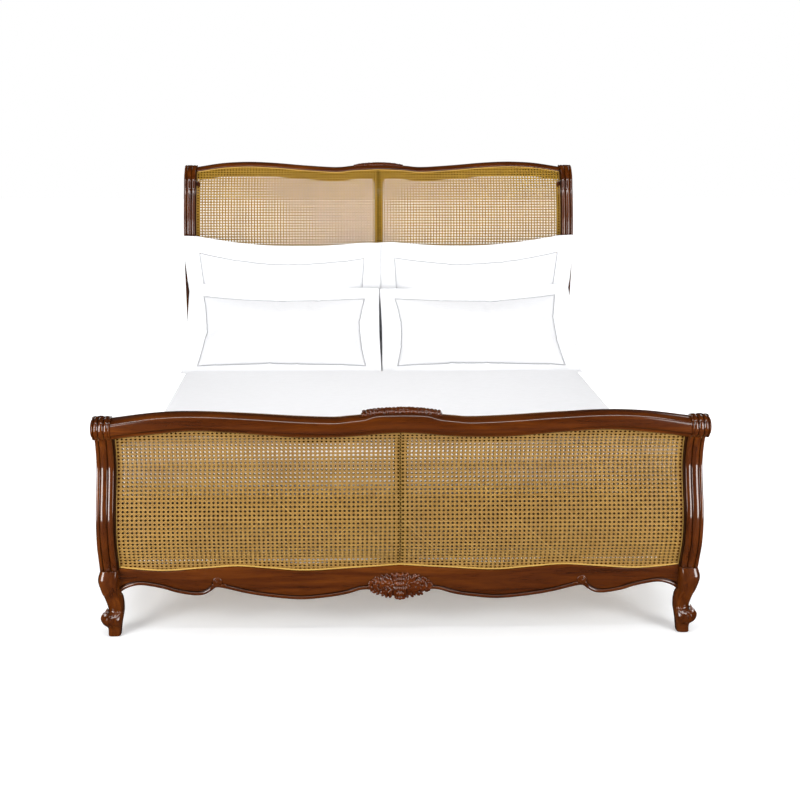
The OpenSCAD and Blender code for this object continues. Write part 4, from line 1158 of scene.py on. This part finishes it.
def rounded_box(half, radius, counts):
    """Closed grid of quads on a box whose edges are rounded; half sizes and radius in the same unit."""
    bm = bmesh.new()
    half, counts = np.array(half, float), np.array(counts)
    made = {}

    def corner(a, c, fixed, i, j, end):
        key = np.zeros(3, int)
        key[[a, c, fixed]] = i, j, end
        if tuple(key) not in made:
            p = (key / counts * 2 - 1) * half
            off = p - np.clip(p, radius - half, half - radius)
            reach = np.linalg.norm(off)
            made[tuple(key)] = bm.verts.new(p - off + off * radius / reach if reach > 0 else p)
        return made[tuple(key)]

    for a, c, fixed in ((0, 1, 2), (1, 2, 0), (2, 0, 1)):
        for end in (0, counts[fixed]):
            for i in range(counts[a]):
                for j in range(counts[c]):
                    f = bm.faces.new([corner(a, c, fixed, i + di, j + dj, end)
                                      for di, dj in ((0, 0), (1, 0), (1, 1), (0, 1))])
                    if end == 0:
                        f.normal_flip()
    return bm


def mattress_piece():
    """Mattress with shallow tufts on top, border panels painted dark as shade, and piping round both edges.
    """
    bm = rounded_box((795, 996, 100), 26, (84, 104, 14))
    centre = np.array([0, (RAIL_Y0 + RAIL_Y1) / 2, 313.0])
    for v in bm.verts:
        x, y, z = v.co
        inside = max(0.0, min(1.0, (770 - abs(x)) / 120)) * max(0.0, min(1.0, (970 - abs(y)) / 120))
        if abs(z) > 90:
            tuft = abs(math.cos(math.pi * x / 190) * math.cos(math.pi * y / 190))
            v.co.z += math.copysign((-4.5 * tuft ** 1.5 + 2.5) * inside, z)
        else:
            belly = 1.5 * math.cos(math.pi * z / 180)
            wave = 0.8 * math.cos(2 * math.pi * (x + y) / 150) * math.cos(math.pi * z / 190)
            d = Vector((x, y, 0)).normalized()
            v.co += d * (belly + wave)
    bm.normal_update()
    for v in bm.verts:
        v.co = (Vector(centre) + v.co) * MM
    mesh = bpy.data.meshes.new("padded_mattress")
    bm.to_mesh(mesh)
    bm.free()
    mesh.shade_smooth()
    mesh.materials.append(ticking)
    # border panels below a white top, painted dark as shade for the space seen through the footboard's cane
    border = mesh.attributes.new("dark", "FLOAT", "POINT")
    edge_z = (MATTRESS_TOP - 14) * MM
    border.data.foreach_set("value", [1.0 if v.co.z < edge_z else 0.0 for v in mesh.vertices])
    obj = bpy.data.objects.new("padded_mattress", mesh)
    bpy.context.scene.collection.objects.link(obj)
    adopt(obj, ["mattress"])
    tape = Shape()
    t = np.linspace(0, 2 * math.pi, 241)
    c, d = np.cos(t), np.sin(t)
    k = (np.abs(c) ** 14 + np.abs(d) ** 14) ** (-1 / 14)
    for z in (MATTRESS_TOP - 16, 229):
        path = np.column_stack([797 * k * c, centre[1] + 998 * k * d, np.full(len(t), z)])
        normal = unit(np.column_stack([c, d, 0 * c]))
        tape.strip(path[:-1] * MM, normal[:-1], ROUND * 3.2 * MM)
    tape.build("mattress_piping", piping, "ticking")


def cover_piece():
    """Cover over the mattress: tucked down both sides and the foot, its head end folded under."""
    draw = np.random.default_rng(5)
    waves = [(draw.uniform(0.6, 1.3), draw.uniform(0.6, 1.3), draw.uniform(0, 6.3)) for _ in range(9)]
    # along the bed: up from the tuck at the foot, over the top, round the fold and back under
    along = [(-978.0 - 1.5 * t, 392 + 10 * t, 0.0) for t in np.linspace(0, 1, 3)]
    along += [(-957 - 22.5 * math.cos(a), COVER_TOP - 24 + 22 * math.sin(a), 0.0)
              for a in np.linspace(0.25, 1.57, 6)]
    along += [(y, COVER_TOP - 2, 0.0) for y in np.linspace(-940, 538, 84)[1:]]
    along += [(538 + 9 * math.sin(a), COVER_TOP - 11 + 9 * math.cos(a), 9 - 9 * math.cos(a))
              for a in np.linspace(0.35, math.pi, 8)]
    along += [(y, COVER_TOP - 19.0, 17.0) for y in np.linspace(530, 430, 8)]
    verts = []
    for y, top, under in along:
        side_x = 803.2 - min(under, 2.2)
        sag = 0.35 * min(under, 10)
        bottom = 264.0 + 6.0 * math.sin(y / 240.0)
        corner = min(24.0, max(2.0, (top - bottom) / 2))
        left = [(-side_x, bottom + (top - corner - bottom) * t) for t in np.linspace(0, 1, 9)]
        arc = [(-side_x + corner * (1 - math.cos(a)), top - corner + corner * math.sin(a))
               for a in np.linspace(0, math.pi / 2, 6)[1:]]
        flat = [(x, top) for x in np.linspace(-side_x + corner, side_x - corner, 56)[1:-1]]
        cross = left + arc + flat + [(-x, z) for x, z in (left + arc)[::-1]]
        for x, z in cross:
            dx = 0.0
            if abs(x) < 760 and y > -960:
                z += 0.42 * sum(math.sin(x / 250 * p + y / 330 * q + f) for p, q, f in waves) - sag
            elif z < top - 20:
                free = max(0.0, min(1.0, (z - 312) / 60))
                dx = free * (1.6 + 2.0 * math.sin(y / 61.0 + x) + 1.2 * math.sin(y / 27.0))
            verts.append((x + math.copysign(dx, x), y, z))
    v = np.array(verts).reshape(len(along), -1, 3) * MM
    rows, cols = v.shape[:2]
    obj = mesh_object("tucked_cover", v.reshape(-1, 3), grid_faces(rows, cols, False))
    obj.data.materials.append(linen)
    subdivide(obj)
    thick = obj.modifiers.new("thick", "SOLIDIFY")
    thick.thickness, thick.offset = 0.0018, 0.0
    apply_modifiers(obj)
    obj.data.shade_smooth()
    adopt(obj, ["bed_cover"])


def inflate(name, w, h, thick, seed):
    """A pillow's bag: two panels sewn round their edge and filled by cloth simulation.

    Local metres, x across and y up. Returns the object, its filled points, its faces and the rim's indices.
    """
    nx, ny = round(w / 0.0125), round(h / 0.0125)
    draw = np.random.default_rng(seed)
    index, verts = {}, []

    def add(i, j, side):
        rim = i in (0, nx) or j in (0, ny)
        key = (i, j, 0 if rim else side)
        if key not in index:
            x, y = i / nx * 2 - 1, j / ny * 2 - 1
            z = 0.0 if rim else side * thick * 0.28 * ((1 - x ** 4) * (1 - y ** 4)) ** 0.7
            index[key] = len(verts)
            verts.append((x * w / 2, y * h / 2, z + (0 if rim else draw.normal(0, 0.0006))))
        return index[key]

    faces = []
    for i in range(nx):
        for j in range(ny):
            q = [(i, j), (i + 1, j), (i + 1, j + 1), (i, j + 1)]
            faces.append([add(a, c, 1) for a, c in q])
            faces.append([add(a, c, -1) for a, c in q[::-1]])
    rim = [(i, 0) for i in range(nx)] + [(nx, j) for j in range(ny)]
    rim += [(nx - i, ny - j) for i, j in rim]
    rim = [index[(i, j, 0)] for i, j in rim]
    obj = mesh_object(name, verts, faces)
    start = np.array(verts)
    fill = obj.modifiers.new("fill", "CLOTH")
    s = fill.settings
    s.quality, s.mass = 5, 0.12
    s.tension_stiffness = s.compression_stiffness = 14
    s.shear_stiffness, s.bending_stiffness = 4, 0.12
    s.use_pressure, s.uniform_pressure_force = True, 4.0
    s.effector_weights.gravity = 0
    fill.point_cache.frame_start, fill.point_cache.frame_end = 1, 20
    for f in range(1, 21):
        bpy.context.scene.frame_set(f)
    deps = bpy.context.evaluated_depsgraph_get()
    got = obj.evaluated_get(deps).data
    v = np.zeros(len(verts) * 3)
    got.vertices.foreach_get("co", v)
    v = v.reshape(-1, 3)
    move = v - start
    far = np.linalg.norm(move, axis=1, keepdims=True)
    move *= np.minimum(1.0, 0.09 / np.maximum(far, 1e-9))
    inset = np.clip(np.minimum(w / 2 - np.abs(start[:, 0]), h / 2 - np.abs(start[:, 1])) / 0.13, 0, 1)
    move[:, :2] *= (0.25 + 0.75 * inset ** 1.5)[:, None]
    v = start + move
    obj.modifiers.clear()
    bpy.context.scene.frame_set(1)
    v -= (v.min(0) + v.max(0)) / 2
    span = v.max(0) - v.min(0)
    v *= [w / span[0], h / span[1], thick / span[2]]
    return obj, v, faces, rim


def pillow_piece(name, node, w, h, thick, brim, place, tilt, seed, floor_z, sag, side, draw_in, taper):
    """Oxford pillow: the filled bag, a flat brim round its seam and a thin cord on the seam.

    Sizes are in metres, place and floor_z in millimetres, and tilt is how far it leans back in degrees.
    """
    obj, v, faces, rim = inflate(name, w, h, thick, seed)
    draw = np.random.default_rng(seed + 50)
    phase = draw.uniform(0, 6.28, 8)

    def settle(p, share=0.0):
        """Weight pulls the bag down: fuller below, its top edge lower in the middle, its sides drawn in."""
        x, y, z = p[:, 0] / (w / 2), p[:, 1] / (h / 2), p[:, 2]
        t = np.clip((y + 1) / 2, 0, 1.3)
        xx, yy, zz = p[:, 0].copy(), p[:, 1].copy(), z * (1.10 - 0.30 * t)
        xx *= 1 - draw_in * (1 - 0.85 * max(share, 0.0)) * np.clip(1 - y ** 2, 0, 1)
        xx -= side * taper * np.clip(x * side, 0, 1.3) ** 3 * (1 - np.clip(t, 0, 1))
        yy -= sag * np.clip(1 - x ** 2, 0, 1) * t
        yy += 0.012 * side * x * t
        zz -= 0.018 * np.clip(t, 0, 1) ** 2
        zz += 0.006 * np.sin(2.4 * x + phase[0]) * t
        return np.column_stack([xx, yy, zz])

    def stand(p):
        """Leans the pillow back, puts it in place and presses what is below floor_z flat."""
        a = math.radians(tilt)
        up = p[:, 1] + h / 2
        y = -p[:, 2] * math.cos(a) + up * math.sin(a)
        z = up * math.cos(a) + p[:, 2] * math.sin(a)
        q = np.column_stack([p[:, 0], y, z]) + np.array(place) * MM
        under = np.clip(floor_z * MM - q[:, 2], 0, None)
        q[:, 2] += under
        q[:, 1] -= 0.55 * under
        return q

    mesh = bpy.data.meshes.new(name)
    mesh.from_pydata(stand(settle(v)).tolist(), [], faces)
    old, obj.data = obj.data, mesh
    bpy.data.meshes.remove(old)
    subdivide(obj)
    apply_modifiers(obj)
    obj.data.shade_smooth()
    obj.data.materials.clear()
    obj.data.materials.append(linen)

    # brim: two layers and a hem, following the seam
    seam = v[rim]
    n = len(seam)
    half_size = np.array([w / 2, h / 2])
    target = seam[:, :2] / half_size
    edge = target / np.abs(target).max(axis=1, keepdims=True) * half_size
    turn_in = brim * 1.1
    outward = np.sign(edge) * np.clip((np.abs(edge) - half_size + turn_in) / turn_in, 0, 1)
    arc = np.concatenate([[0], np.cumsum(np.linalg.norm(np.diff(edge, axis=0), axis=1))])
    layers = []
    shares = np.array([-0.06, 0.0, 0.12, 0.3, 0.5, 0.7, 0.85, 0.95, 1.0])
    ruffle = sum(np.sin(arc * f + p) * a for f, p, a in zip((13, 29, 47), phase[1:], (0.5, 0.32, 0.25)))
    for share in shares:
        # the hem stays straight where the filling draws the seam in
        straight = 0.9 * max(share, 0.0)
        xy = seam[:, :2] * (1 - straight) + edge * straight + outward * brim * share
        z = seam[:, 2] + 0.0110 * ruffle * np.clip(share, 0, 1) ** 1.3
        layers.append(np.column_stack([xy, z]))
    front = [stand(settle(p, share)) for p, share in zip(layers, shares)]
    lift_dir = np.array([0, -math.cos(math.radians(tilt)), math.sin(math.radians(tilt))])
    half_t = [0.0007, 0.0011, 0.0010, 0.0009, 0.0009, 0.0010, 0.0014, 0.0017, 0.0012]
    section = [p + lift_dir * t for p, t in zip(front, half_t)]
    section += [p - lift_dir * t for p, t in zip(front[::-1], half_t[::-1])]
    faces = grid_faces(n, len(section), closed=True)
    Shape().add(np.array(section).transpose(1, 0, 2), faces).build(f"{name}_brim", linen, "linen")
    # cord sewn along the seam, on the side that shows
    path = stand(settle(np.column_stack([seam[:, :2] - outward * 0.002, seam[:, 2] + 0.0022])))
    tangent = unit(np.roll(path, -1, 0) - np.roll(path, 1, 0))
    side_dir = unit(np.cross(tangent, lift_dir))
    up = np.cross(side_dir, tangent)
    spread = side_dir[:, None] * ROUND[None, :, :1] + up[:, None] * ROUND[None, :, 1:]
    tube = path[:, None] + CORD_R * spread
    faces = grid_faces(n, len(ROUND), closed=True)
    Shape().add(tube, faces).build(f"{name}_seam_cord", piping, "linen")
    adopt(obj, [node])


mattress_piece()
cover_piece()
for side, side_name in ((-1, "left"), (1, "right")):
    pillow_piece(f"back_pillow_{side_name}", f"pillow_back_{side_name}", w=0.722, h=0.428, thick=0.135,
                 brim=0.068, place=(side * 424, 938 + 5 * side, 428), tilt=3.0, seed=60 + side, floor_z=418.0,
                 sag=0.024, side=side, draw_in=0.003, taper=0.040)
    pillow_piece(f"front_pillow_{side_name}", f"pillow_front_{side_name}", w=0.700, h=0.372, thick=0.150,
                 brim=0.060, place=(side * 412, 612, 434), tilt=46.0, seed=70 + side, floor_z=419.0,
                 sag=0.008, side=side, draw_in=0.045, taper=0.0)

size = {"cad": [list(v) for v in cad_box], "visual": [list(v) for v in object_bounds()]}
